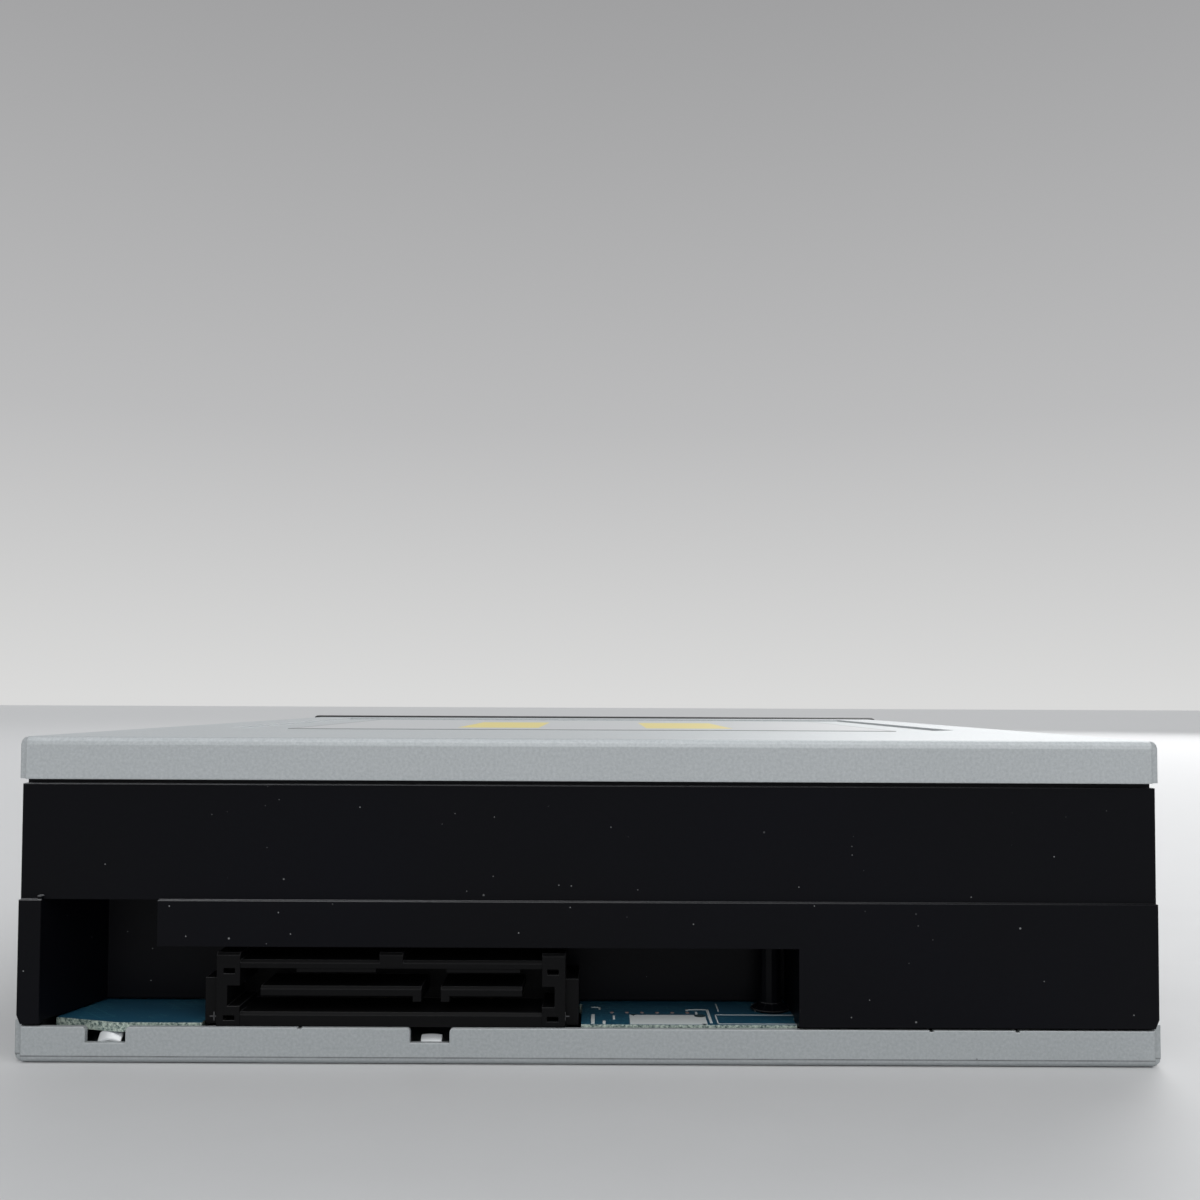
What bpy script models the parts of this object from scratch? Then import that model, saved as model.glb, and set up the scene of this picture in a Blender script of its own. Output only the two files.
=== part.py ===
# Half-height optical disc writer, built as the real drive comes apart on a bench.
# Sizes are in millimetres and become metres when a shape is made. +Z is up, the front panel
# faces -Y, the connector side faces +Y, and the origin is under the middle of the drive.

import math

import bmesh
import bpy
from mathutils import Matrix, Vector

MM = 0.001

# General
RUNNING = 0.05          # radial play of a bore that runs on a post
CLEAR = 0.3             # gap kept between pieces that seat on or slide in each other
OVER = 1.0              # how far a cutter runs past the surface that it opens
SHEET = 0.8             # thickness of the two steel covers
BEND = 1.0              # outside radius of their folded edges

# Disc and tray, from the middle outwards
DISC_POCKET_R = 60.8
SMALL_POCKET_R = 41.0
SMALL_POCKET_DEPTH = 0.8
POCKET_DEPTH = 2.8
TRAY_FLOOR = 2.0
TRAY_RIM = 4.2
TRAY_SKIN = 2.0
TRAY_RAIL_DROP = 3.2
TRAY_RAIL_W = 2.0
TRAY_SIDE_GAP = 4.5
TRAY_REAR_MARGIN = 27.2
TRAY_TRAVEL = 131.0
TRAY_WALL_TOP = 4.2
HUB_HOLE_R = 20.0
PICKUP_SLOT_HALF = 19.0
PICKUP_SLOT_MARGIN = 3.5
DOOR_T = 2.4
DOOR_H = 13.8

# Case
SIDE_WALL = 3.5
BAND_INSET = 0.65       # how far the moulding's sides stand inside the covers'
REAR_WALL = 3.4
REAR_STEP = 0.6
TRAY_REAR_GAP = 7.0
DISC_FRONT_MARGIN = 10.2
BEZEL_T = 5.0
BEZEL_SKIN = 2.4
BEZEL_OVERHANG = 1.1
BEZEL_LIP = 0.4
BEZEL_ROUND = 0.8
FRONT_WALL = 2.7
BOARD_LIFT = 2.95
BOARD_T = 1.2
DECK_LIFT = 4.55
DECK_T = 2.0
MECHANISM_H = 12.5
LEDGE_Z = 20.6
LID_FLANGE = 5.4
PAN_REAR_FLANGE = 4.65
PAN_SIDE_FLANGE = 5.2
CORNER_RELIEF = 0.2     # what the square notch at a corner is wider than the bend
NOTCHES = ((9.4, 14.5, 2.65), (50.5, 55.5, 2.8))      # two ends from the left edge, and the sill
NOTCH_ROUND = 0.5
SHEAR_NICKS = (36.5, 116.5, 127.4)                    # from the left edge
NICK_W = 0.5
NICK_DEPTH = 0.2
LID_PANEL_DEPTH = 0.4
LID_PANEL_MARGIN = 11.0
LID_PANEL_TO_BULKHEAD = 22.5
LID_PANEL_CHAMFER = 16.0

# Connector bay in the rear wall
BAY_DEPTH = 12.5
BULKHEAD_T = 2.0
BAY_ROOF_T = 1.7
BAY_WALL_T = 2.4
WINDOW_TOP = 14.8
WINDOW_LEN = 96.25
BAY_SLANT = 3.8
RECESS_LEN = 14.8
CONNECTOR_FROM_WALL = 44.45
BOARD_REAR_INSET = SHEET + CLEAR
BOARD_SIDE_GAP = 0.1

# Clamping and lifting
DISC_T = 1.2
DISC_LIFT = 1.8
HUB_H = 2.7
HUB_R = 7.4
TABLE_R = 13.9
CLAMP_GAP = 0.6
CLAMPER_R = 11.9
CLAMPER_BODY_H = 6.4
CLAMPER_FLANGE_R = 14.6
CLAMPER_FLANGE_T = 1.4
BRACKET_T = 1.2
LID_CLEAR = 3.1
PARK_GAP = 0.75
PIVOT_INSET = 4.5
PIVOT_LIFT = 2.5
PIVOT_R = 1.8

# Traverse, in its raised and level position
LIFT_SIDE_GAP = 19.5
LIFT_WALL = 4.5
LIFT_H = 7.0
LIFT_FRONT = 20.0
PLATE_T = 1.2
ROD_R = 1.5
SCREW_INSET = 12.0
ROD_TO_SCREW = 8.5
SLED_TO_ROD = 5.5
SLED_LEN = 27.0
SLED_H = 7.4
LENS_INNER = 23.5
SLED_END_GAP = 2.3
LENS_TRAVEL = 0.4
LENS_WELL = 10.0
LENS_POST_X = 7.2
LENS_POST_R = 0.7
SLED_MOTOR_R = 6.0
SLED_MOTOR_LEN = 15.2

# Loading drive
GEAR_MODULE = 1.0
FINE_MODULE = 0.8
TRAY_TEETH = 20
WHEEL_TEETH = 36
PINION_TEETH = 12
MESH_GAP = 0.1
BACKLASH = 0.16
RACK_INSET = 8.4        # pitch line of the tray's rack, inside the tray's edge
TRAY_GEAR_POST_R = 2.0
PULLEY_POST_R = 1.5
PULLEY_R = 6.4
MOTOR_PULLEY_R = 2.2
BELT_T = 1.0
MOTOR_R = 12.2
MOTOR_H = 12.0
MOTOR_SPAN = 35.3
LOADING_ROOM = 43.0     # between the front wall and the lift frame
SLIDER_TRAVEL = 20.0
SLIDER_T = 2.5
CAM_PIN_X = 22.0
CAM_PIN_R = 1.5
CAM_SLOT_GAP = 0.45

# Fixings and small parts
SIDE_HOLE_R = 1.3
HOLE_FIRST = 47.4       # first mounting hole, behind the back of the front panel
HOLE_SPACING = 79.25
HOLE_LOW = 10.0
HOLE_HIGH = 21.84
BOTTOM_HOLE_INSET = 3.15
SCREW_R = 1.4
SCREW_HEAD_R = 2.8
SCREW_HEAD_T = 1.1
SCREW_BOSS_R = 4.0
MOUNT_BOSS_HALF = 4.0
DIMPLE_R = 5.2
DIMPLE_BELOW_R = 4.4
BUTTON_W = 14.0
BUTTON_H = 5.6
BUTTON_INSET = 12.5
BUTTON_Z = 7.3
BUTTON_TRAVEL = 0.8
BUTTON_FLANGE = 1.1
LED_TO_BUTTON = 13.0
LED_R = 1.2
EMERGENCY_X = 8.0
EMERGENCY_R = 0.8
FRONT_BOARD_LEN = 55.0
FRONT_BOARD_INSET = 2.5
FRONT_FLEX = (9.0, 19.0)                              # from the front board's left end
BOARD_RIGHT_INSET = 12.5
BOARD_LEN = 56.5
CONTROLLER = ((0.0, 26.0), (20.0, 46.0), 1.3)         # corners from the board's front edge, height
DRIVER = ((-34.0, 16.0), (-20.0, 30.0), 1.6)
MEMORY = ((26.0, 30.0), (40.0, 38.0), 1.2)
PAD_INSET = 2.0
SOCKET_HALF = 12.0
SOCKET_Y = (30.0, 34.0)
PICKUP_FLEX_HALF = 11.0
MOTOR_SCREW_DX = (-8.0, 8.0)
BRACKET_HALF = 17.0

# Power and data connector, its X sizes from its own middle
SHELL_HALF = 22.15
POST_W = 2.95
EAR_HALF = 23.85
EAR_TOP = 10.6
GUIDE_HALF = 20.8
GUIDE_Z = (7.2, 9.8)
POST_SLOTS = ((5.4, 6.04), (11.3, 12.0))
MOUTH_Z = (6.42, 12.0)
CONNECTOR_TOP = 13.0
KEY_DROP = 0.52
KEYS = ((-16.4, -7.0), (2.0, 12.1))
TONGUE_Z = (8.43, 9.59)
TONGUES = ((-3.78, 16.72, -3.78), (-16.64, -6.27, -7.37))     # two ends and the leg's place
EDGE_CHAMFER = 0.35

# Heights worked out from the bottom of the drive upwards
PAN_TOP = SHEET
BOARD_LOW = PAN_TOP + BOARD_LIFT
BOARD_TOP = BOARD_LOW + BOARD_T
DECK_LOW = BOARD_TOP + DECK_LIFT
DECK_TOP = DECK_LOW + DECK_T
TRAY_UNDER = DECK_TOP + MECHANISM_H
POCKET_Z = TRAY_UNDER + TRAY_FLOOR
TRAY_TOP = POCKET_Z + POCKET_DEPTH
RAIL_LOW = TRAY_UNDER - TRAY_RAIL_DROP
SEAT_Z = POCKET_Z + DISC_LIFT
HUB_TOP = SEAT_Z + HUB_H
CLAMPER_LOW = SEAT_Z + DISC_T + CLAMP_GAP
FLANGE_LOW = CLAMPER_LOW + CLAMPER_BODY_H
CLAMPER_TOP = FLANGE_LOW + CLAMPER_FLANGE_T
BRACKET_TOP = FLANGE_LOW - CLEAR
BRACKET_LOW = BRACKET_TOP - BRACKET_T
LID_UNDER = CLAMPER_TOP + LID_CLEAR
HOUSING_H = LID_UNDER + SHEET
BEZEL_H = HOUSING_H + BEZEL_LIP
LID_EDGE = HOUSING_H - LID_FLANGE
FRAME_TOP = LID_UNDER - CLEAR
FRAME_BOTTOM = PAN_TOP + CLEAR
BAND_TOP = LID_EDGE - 2 * CLEAR
BAND_LOW = PAN_SIDE_FLANGE + CLEAR
BAY_ROOF_TOP = LEDGE_Z + BAY_ROOF_T

# Widths
TRAY_HALF = DISC_POCKET_R + TRAY_RIM
INNER_HALF = TRAY_HALF + TRAY_SIDE_GAP
HALF_W = INNER_HALF + SIDE_WALL
CORE_HALF = HALF_W - SHEET - CLEAR
BODY_HALF = HALF_W - BAND_INSET
BEZEL_HALF = HALF_W + BEZEL_OVERHANG
LIFT_HALF = INNER_HALF - LIFT_SIDE_GAP
RACK_X = TRAY_HALF - RACK_INSET
SCREW_X = LIFT_HALF - SCREW_INSET
ROD_X = SCREW_X - ROD_TO_SCREW
SLED_HALF = ROD_X - SLED_TO_ROD
BUTTON_X = INNER_HALF - BUTTON_INSET
LED_X = BUTTON_X - LED_TO_BUTTON
FRONT_BOARD_X1 = INNER_HALF - FRONT_BOARD_INSET
FRONT_BOARD_X0 = FRONT_BOARD_X1 - FRONT_BOARD_LEN
BOARD_RIGHT = BOARD_RIGHT_INSET - INNER_HALF
BOTTOM_HOLE_HALF = HALF_W - BOTTOM_HOLE_INSET

# Depths
# The spindle stands behind the pocket's front edge and behind the loading drive and lift frame.
SPINDLE_REACH = max(DISC_FRONT_MARGIN + DISC_POCKET_R,
                    BEZEL_T + CLEAR + FRONT_WALL + LOADING_ROOM + LIFT_FRONT)
DEPTH = (SPINDLE_REACH + DISC_POCKET_R + TRAY_REAR_MARGIN
         + TRAY_REAR_GAP + REAR_WALL + REAR_STEP)
REAR = DEPTH / 2
FRONT = -DEPTH / 2
BEZEL_BACK = FRONT + BEZEL_T
FRAME_FRONT = BEZEL_BACK + CLEAR
INNER_FRONT = FRAME_FRONT + FRONT_WALL
UPPER_REAR = REAR - REAR_STEP
INNER_REAR = UPPER_REAR - REAR_WALL
SPINDLE_Y = FRONT + SPINDLE_REACH
TRAY_REAR = SPINDLE_Y + DISC_POCKET_R + TRAY_REAR_MARGIN
TRAY_FRONT = FRONT + DOOR_T + CLEAR + 0.2
BAY_FRONT = REAR - BAY_DEPTH
BULKHEAD = BAY_FRONT - BULKHEAD_T
BAY_REAR = REAR - BAY_WALL_T
WINDOW_LEFT = INNER_HALF
WINDOW_RIGHT = WINDOW_LEFT - WINDOW_LEN
BAY_SIDE = WINDOW_RIGHT - 2.0
RECESS_RIGHT = WINDOW_LEFT - RECESS_LEN
BOARD_REAR = REAR - BOARD_REAR_INSET
BOARD_FRONT = BULKHEAD - BOARD_LEN
CONNECTOR_X = WINDOW_LEFT - CONNECTOR_FROM_WALL
CONNECTOR_BACK = BAY_FRONT + 1.6
HOLE_Y = (BEZEL_BACK + HOLE_FIRST, BEZEL_BACK + HOLE_FIRST + HOLE_SPACING)

RAIL_END = BULKHEAD - 2 * CLEAR
HOOK_Z = (DECK_TOP + 1.0, DECK_TOP + 7.0)
HOOK_Y = (INNER_FRONT + 1.0, INNER_FRONT + 3.0)
GUIDE_Y = ((INNER_FRONT + 3.6, INNER_FRONT + 11.6), (HOLE_Y[0] + 16.0, HOLE_Y[0] + 24.0),
           (HOLE_Y[1] - 16.0, HOLE_Y[1] - 8.0))
BOARD_POSTS = ((-LIFT_HALF - 4.2, BOARD_FRONT + 10.0), (-LIFT_HALF - 4.2, BOARD_FRONT + 46.0),
               (LIFT_HALF + 6.0, BOARD_FRONT + 8.0))
PILLAR = (WINDOW_RIGHT + 2.45, BAY_REAR - 6.4)
SLOT_HALF = TRAY_HALF + 1.3
DOOR_Z = (RAIL_LOW - 1.2, RAIL_LOW - 1.2 + DOOR_H)
MOTOR_TOP = PAN_TOP + MOTOR_H + 0.5
MOTOR_SEAT_Z = PAN_TOP + MOTOR_H + 2.3
SWITCH_Y = INNER_FRONT - 0.6
EMERGENCY_Z = DECK_TOP + 1.6

# Traverse levels, with the lift frame level
PIVOT_Y = BULKHEAD - PIVOT_INSET
PIVOT_Z = DECK_TOP + PIVOT_LIFT
LIFT_LOW = PIVOT_Z - 1.0
LIFT_TOP = LIFT_LOW + LIFT_H
LIFT_Y0 = SPINDLE_Y - LIFT_FRONT
LIFT_Y1 = BULKHEAD - 1.0
SHELF_TOP = LIFT_LOW + 1.2
PLATE_LOW = SHELF_TOP + 1.4
PLATE_TOP = PLATE_LOW + PLATE_T
PLATE_Y0 = LIFT_Y0 + 3.6
PLATE_Y1 = LIFT_Y1 - 3.1
PLATE_HALF = LIFT_HALF - LIFT_WALL - 0.5
WELL_Y0 = SPINDLE_Y + TABLE_R + 0.6
ROD_Z = PLATE_TOP + CLEAR + ROD_R
LEAD_Z = PLATE_TOP + 0.2
WELL_Y1 = PLATE_Y1 - 2.4
MOTOR_TAB_Y = WELL_Y0 - 2.0
SLED_Y0 = SPINDLE_Y + TABLE_R + 1.3
SLED_LOW = PLATE_LOW - 1.4
SLED_TOP = SLED_LOW + SLED_H
LENS_Y = SPINDLE_Y + LENS_INNER
SLED_TRAVEL = DISC_POCKET_R - LENS_INNER - SLED_END_GAP
HOLDER_TOP = SLED_TOP + 2.2
DAMPER_X = PLATE_HALF - 3.5
DAMPER_Y = (PLATE_Y0 + 4.4, PLATE_Y1 - 4.4)
NUT_TAB_Y = DAMPER_Y[1] - 6.0
TILT = math.asin((HUB_TOP - TRAY_UNDER + PARK_GAP) / (PIVOT_Y - SPINDLE_Y))

# Loading drive places
TRAY_GEAR_R = GEAR_MODULE * TRAY_TEETH / 2
WHEEL_R = FINE_MODULE * WHEEL_TEETH / 2
PINION_R = FINE_MODULE * PINION_TEETH / 2
TRAY_GEAR_X = RACK_X - TRAY_GEAR_R - MESH_GAP
TRAY_GEAR_Y = INNER_FRONT + WHEEL_R + FINE_MODULE + 0.3
PULLEY_X = TRAY_GEAR_X - WHEEL_R - PINION_R - MESH_GAP
MOTOR_X = PULLEY_X - MOTOR_SPAN
MOTOR_Y = INNER_FRONT + MOTOR_R + 2.3
LOW_GEAR = (DECK_TOP + CLEAR, DECK_TOP + 2.4)
MID_GEAR = (DECK_TOP + 2.8, DECK_TOP + 5.1)
TOP_GEAR = (DECK_TOP + 5.5, TRAY_UNDER - 0.8)
BELT_Z = DECK_TOP + 7.3
SLIDER_REAR = LIFT_Y0 - 3.0
SLIDER_FRONT = SLIDER_REAR - SLIDER_T
SLIDER_RACK_Y = TRAY_GEAR_Y + TRAY_GEAR_R + GEAR_MODULE + 0.5
SLIDER_FLANGE = (DECK_TOP + CLEAR, DECK_TOP + 1.8)
CAM_PIN_Z = LIFT_TOP - 2.5
CAM_PIN_Y = (SLIDER_REAR + SLIDER_FRONT) / 2
SCREW_PLACES = [(side * (TRAY_HALF - 1.0), y) for side in (-1, 1)
                for y in (INNER_FRONT + 7.0, PIVOT_Y)]
FRONT_BOARD_LOW = PAN_TOP + 1.6
FRONT_BOARD_TOP = FRONT_BOARD_LOW + BOARD_T


def lowered(y, z):
    """Where a point of the level traverse lies once the traverse is parked."""
    dy, dz = y - PIVOT_Y, z - PIVOT_Z
    return (PIVOT_Y + dy * math.cos(TILT) - dz * math.sin(TILT),
            PIVOT_Z + dy * math.sin(TILT) + dz * math.cos(TILT))


# Scene set-up

def clear_scene():
    for item in list(bpy.data.objects):
        bpy.data.objects.remove(item, do_unlink=True)


def make_collection(name):
    group = bpy.data.collections.new(name)
    bpy.context.scene.collection.children.link(group)
    return group


clear_scene()
PARTS = make_collection("disc_writer")
CUTTERS = make_collection("cutters")


def make_material(name, colour, roughness, metallic=0.0):
    material = bpy.data.materials.new(name)
    material.use_nodes = True
    shader = material.node_tree.nodes["Principled BSDF"]
    shader.inputs["Base Color"].default_value = (*colour, 1.0)
    shader.inputs["Roughness"].default_value = roughness
    shader.inputs["Metallic"].default_value = metallic
    return material


GALVANISED = make_material("galvanised_steel", (0.42, 0.44, 0.45), 0.42, 0.9)
STEEL = make_material("bright_steel", (0.55, 0.55, 0.56), 0.25, 1.0)
BLACK = make_material("black_moulding", (0.012, 0.012, 0.014), 0.45)
CHARCOAL = make_material("connector_moulding", (0.02, 0.02, 0.021), 0.5)
BEZEL_BLACK = make_material("front_panel_black", (0.015, 0.015, 0.016), 0.35)
TRAY_GREY = make_material("tray_moulding", (0.03, 0.03, 0.032), 0.5)
GEAR_WHITE = make_material("acetal_white", (0.75, 0.74, 0.7), 0.4)
SLIDER_GREY = make_material("slider_moulding", (0.35, 0.36, 0.38), 0.45)
BOARD_BLUE = make_material("board_blue", (0.03, 0.09, 0.16), 0.4)
CHIP = make_material("chip_black", (0.02, 0.02, 0.022), 0.55)
RUBBER = make_material("rubber", (0.02, 0.02, 0.02), 0.8)
CAST = make_material("cast_metal", (0.3, 0.31, 0.32), 0.5, 0.8)
LENS = make_material("lens_glass", (0.25, 0.3, 0.5), 0.05)
FLEX = make_material("flex_ribbon", (0.45, 0.25, 0.06), 0.4)
MAGNET = make_material("magnet", (0.12, 0.12, 0.13), 0.3, 0.7)
PAD = make_material("thermal_pad", (0.55, 0.57, 0.6), 0.8)
LIGHT_PIPE = make_material("light_pipe", (0.7, 0.72, 0.7), 0.2)


# Shapes

def add_object(name, mesh):
    item = bpy.data.objects.new(name, mesh)
    PARTS.objects.link(item)
    return item


def mesh_object(name, bm):
    mesh = bpy.data.meshes.new(name)
    bm.to_mesh(mesh)
    bm.free()
    return add_object(name, mesh)


def box(name, low, high):
    """A block between two corners."""
    middle = Vector([(a + b) / 2 for a, b in zip(low, high)]) * MM
    size = [(b - a) * MM for a, b in zip(low, high)]
    bm = bmesh.new()
    place = Matrix.Translation(middle) @ Matrix.Diagonal((*size, 1.0))
    bmesh.ops.create_cube(bm, size=1.0, matrix=place)
    return mesh_object(name, bm)


TURN_TO = {
    "X": Matrix.Rotation(math.radians(90), 4, "Y"),
    "Y": Matrix.Rotation(math.radians(-90), 4, "X"),
    "Z": Matrix.Identity(4),
}


def cylinder(name, radius, start, end, at=(0.0, 0.0), axis="Z", sides=16, end_radius=None):
    """A rod or a cone along one axis, at its two other coordinates."""
    centre = {"X": ((start + end) / 2, *at), "Y": (at[0], (start + end) / 2, at[1]),
              "Z": (*at, (start + end) / 2)}[axis]
    bm = bmesh.new()
    tip = radius if end_radius is None else end_radius
    bmesh.ops.create_cone(bm, cap_ends=True, segments=sides, radius1=radius * MM,
                          radius2=tip * MM, depth=(end - start) * MM,
                          matrix=Matrix.Translation(Vector(centre) * MM) @ TURN_TO[axis])
    item = mesh_object(name, bm)
    shade_round(item)
    return item


def shade_round(item):
    item.data.shade_smooth()
    item.data.set_sharp_from_angle(angle=math.radians(35))


PLANES = {
    "XY": Matrix.Identity(4),
    "XZ": Matrix.Rotation(math.radians(90), 4, "X"),
    "YZ": Matrix(((0, 0, 1, 0), (1, 0, 0, 0), (0, 1, 0, 0), (0, 0, 0, 1))),
}


def outline(name, points, start, end, plane="XY"):
    """A flat outline in a plane, given its thickness from start to end across the plane."""
    curve = bpy.data.curves.new(name, "CURVE")
    curve.dimensions = "2D"
    curve.fill_mode = "BOTH"
    curve.extrude = (end - start) / 2 * MM
    spline = curve.splines.new("POLY")
    spline.points.add(len(points) - 1)
    for point, (a, b) in zip(spline.points, points):
        point.co = (a * MM, b * MM, 0.0, 1.0)
    spline.use_cyclic_u = True
    flat = bpy.data.objects.new(name, curve)
    CUTTERS.objects.link(flat)
    graph = bpy.context.evaluated_depsgraph_get()
    mesh = bpy.data.meshes.new_from_object(flat.evaluated_get(graph))
    bpy.data.objects.remove(flat, do_unlink=True)
    middle = (start + end) / 2 * MM
    across = {"XY": (0, 0, middle), "XZ": (0, middle, 0), "YZ": (middle, 0, 0)}[plane]
    bm = bmesh.new()
    bm.from_mesh(mesh)
    bpy.data.meshes.remove(mesh)
    bmesh.ops.remove_doubles(bm, verts=bm.verts, dist=1e-6)
    bmesh.ops.dissolve_degenerate(bm, edges=bm.edges, dist=1e-6)
    bmesh.ops.dissolve_limit(bm, angle_limit=math.radians(0.5), verts=bm.verts, edges=bm.edges)
    bm.transform(Matrix.Translation(across) @ PLANES[plane])
    bmesh.ops.recalc_face_normals(bm, faces=bm.faces)
    return mesh_object(name, bm)


def turned(name, profile, at=(0.0, 0.0), steps=20, closed=False):
    """A profile of (radius, height) points turned round an upright axis."""
    bm = bmesh.new()
    verts = [bm.verts.new((r * MM, 0.0, z * MM)) for r, z in profile]
    pairs = list(zip(verts, verts[1:]))
    if closed:
        pairs.append((verts[-1], verts[0]))
    for first, second in pairs:
        bm.edges.new((first, second))
    item = mesh_object(name, bm)
    item.location = (at[0] * MM, at[1] * MM, 0.0)
    screw = item.modifiers.new("turn", "SCREW")
    screw.axis = "Z"
    screw.angle = math.radians(360)
    screw.steps = steps
    screw.render_steps = steps
    screw.use_merge_vertices = True
    screw.merge_threshold = 1e-6
    screw.use_smooth_shade = False
    return item


def as_tool(target, tool):
    """Hide a tool shape and let it follow the piece that it works on."""
    PARTS.objects.unlink(tool)
    CUTTERS.objects.link(tool)
    tool.parent = target
    tool.matrix_parent_inverse = Matrix.Translation(target.location).inverted()
    tool.display_type = "WIRE"
    tool.hide_render = True


def boolean(target, tool, operation):
    step = target.modifiers.new(operation.lower(), "BOOLEAN")
    step.operation = operation
    step.solver = "EXACT"
    step.object = tool
    as_tool(target, tool)


def cut(target, *tools):
    for tool in tools:
        boolean(target, tool, "DIFFERENCE")


def join(target, *tools):
    for tool in tools:
        boolean(target, tool, "UNION")


def soften(item, width, segments=2, angle=40):
    """Round the edges of a piece."""
    bevel = item.modifiers.new("soften", "BEVEL")
    bevel.width = width * MM
    bevel.segments = segments
    bevel.limit_method = "ANGLE"
    bevel.angle_limit = math.radians(angle)


def paint(item, material):
    item.data.materials.clear()
    item.data.materials.append(material)
    return item


def joint_empty(name, at, turn=0.0):
    """A guide on a joint's axis that carries the pieces of one moving body."""
    empty = bpy.data.objects.new(name, None)
    empty.location = Vector(at) * MM
    empty.rotation_euler = (turn, 0.0, 0.0)
    CUTTERS.objects.link(empty)
    return empty


def carry(empty, *items):
    """Parent pieces modelled in the level position to a joint's empty."""
    for item in items:
        item.parent = empty
        item.matrix_parent_inverse = Matrix.Translation(empty.location).inverted()


def mirrored(x_low, x_high):
    """The same stretch of X on both sides of the drive."""
    return [(x_low, x_high), (-x_high, -x_low)]


def arc(centre, radius, start, end, count):
    """Points along an arc, its angles in degrees."""
    steps = [math.radians(start + (end - start) * i / (count - 1)) for i in range(count)]
    return [(centre[0] + radius * math.cos(a), centre[1] + radius * math.sin(a)) for a in steps]


# Covers

def folded_cover(name, level, up, side_height, rear_height):
    """An open skin folded along three edges, then given the thickness of the sheet."""
    front, rear = FRAME_FRONT * MM, REAR * MM
    half, z = HALF_W * MM, level * MM
    inner, notch = half - (BEND + CORNER_RELIEF) * MM, rear - (BEND + CORNER_RELIEF) * MM
    bm = bmesh.new()
    corners = [(-half, front), (half, front), (half, notch), (inner, notch), (inner, rear),
               (-inner, rear), (-inner, notch), (-half, notch)]
    verts = [bm.verts.new((x, y, z)) for x, y in corners]
    bm.faces.new(verts)
    folds = []
    for first, last, height in ((1, 2, side_height), (4, 5, rear_height), (7, 0, side_height)):
        edge = bm.edges.get((verts[first], verts[last]))
        folds.append(edge)
        made = bmesh.ops.extrude_edge_only(bm, edges=[edge])["geom"]
        raised = [v for v in made if isinstance(v, bmesh.types.BMVert)]
        bmesh.ops.translate(bm, verts=raised, vec=(0, 0, up * height * MM))
    bmesh.ops.bevel(bm, geom=folds, offset=BEND * MM, segments=3, profile=0.5, affect="EDGES")
    bmesh.ops.recalc_face_normals(bm, faces=bm.faces)
    base = max(bm.faces, key=lambda face: face.calc_area())
    if base.normal.z * up > 0:
        bmesh.ops.reverse_faces(bm, faces=bm.faces)
    cover = mesh_object(name, bm)
    wall = cover.modifiers.new("sheet", "SOLIDIFY")
    wall.thickness = SHEET * MM
    wall.offset = -1
    wall.use_even_offset = True
    return cover


def notch_outline(right, left, sill):
    """A notch open at the top, where the sheet's corners are rounded."""
    r, top = NOTCH_ROUND, PAN_REAR_FLANGE + 0.02
    return ([(right, sill), (left, sill)] + arc((left + r, top - r), r, 180, 90, 4)
            + [(left + r, top + OVER), (right - r, top + OVER)]
            + arc((right - r, top - r), r, 90, 0, 4))


def make_bottom_cover():
    pan = folded_cover("bottom_cover", 0.0, 1, PAN_SIDE_FLANGE, PAN_REAR_FLANGE)
    for x, y in SCREW_PLACES:
        join(pan, cylinder("dimple", DIMPLE_R, SHEET / 2, PAN_TOP + SCREW_HEAD_T, (x, y)))
        cut(pan, cylinder("dimple_below", DIMPLE_BELOW_R, -OVER, SCREW_HEAD_T + CLEAR, (x, y)),
            cylinder("screw_hole", SCREW_R + CLEAR, 0, PAN_TOP + 2 * SCREW_HEAD_T, (x, y)))
    for side in (-1, 1):
        for y in HOLE_Y:
            cut(pan, cylinder("mount_hole", SIDE_HOLE_R + 0.4, -OVER, PAN_TOP + OVER,
                              (side * BOTTOM_HOLE_HALF, y)))
    depth = (REAR - 2 * SHEET, REAR + OVER)
    for near, far, sill in NOTCHES:
        cut(pan, outline("notch", notch_outline(HALF_W - far, HALF_W - near, sill), *depth, "XZ"))
    for from_edge in SHEAR_NICKS:
        x = HALF_W - from_edge
        cut(pan, box("nick", (x - NICK_W / 2, depth[0], PAN_REAR_FLANGE - NICK_DEPTH),
                     (x + NICK_W / 2, depth[1], PAN_REAR_FLANGE + OVER)))
    return paint(pan, GALVANISED)


def panel_outline(grow):
    half = HALF_W - LID_PANEL_MARGIN + grow
    chamfer = LID_PANEL_CHAMFER
    front, rear = FRAME_FRONT + LID_PANEL_MARGIN - grow, BULKHEAD - LID_PANEL_TO_BULKHEAD + grow
    return [(-half, front), (half, front), (half, rear - chamfer), (half - chamfer, rear),
            (chamfer - half, rear), (-half, rear - chamfer)]


def make_top_cover():
    lid = folded_cover("top_cover", HOUSING_H, -1, LID_FLANGE, LID_FLANGE)
    join(lid, outline("panel_below", panel_outline(SHEET), LID_UNDER - LID_PANEL_DEPTH,
                      LID_UNDER + SHEET / 2))
    cut(lid, outline("panel_above", panel_outline(0.0), HOUSING_H - LID_PANEL_DEPTH,
                     HOUSING_H + OVER))
    return paint(lid, GALVANISED)


# Main frame

def frame_section():
    half = [(CORE_HALF, FRAME_BOTTOM), (CORE_HALF, BAND_LOW - 0.5), (BODY_HALF, BAND_LOW + 0.6),
            (BODY_HALF, BAND_TOP), (CORE_HALF, BAND_TOP), (CORE_HALF, FRAME_TOP)]
    return half + [(-x, z) for x, z in reversed(half)]


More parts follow.
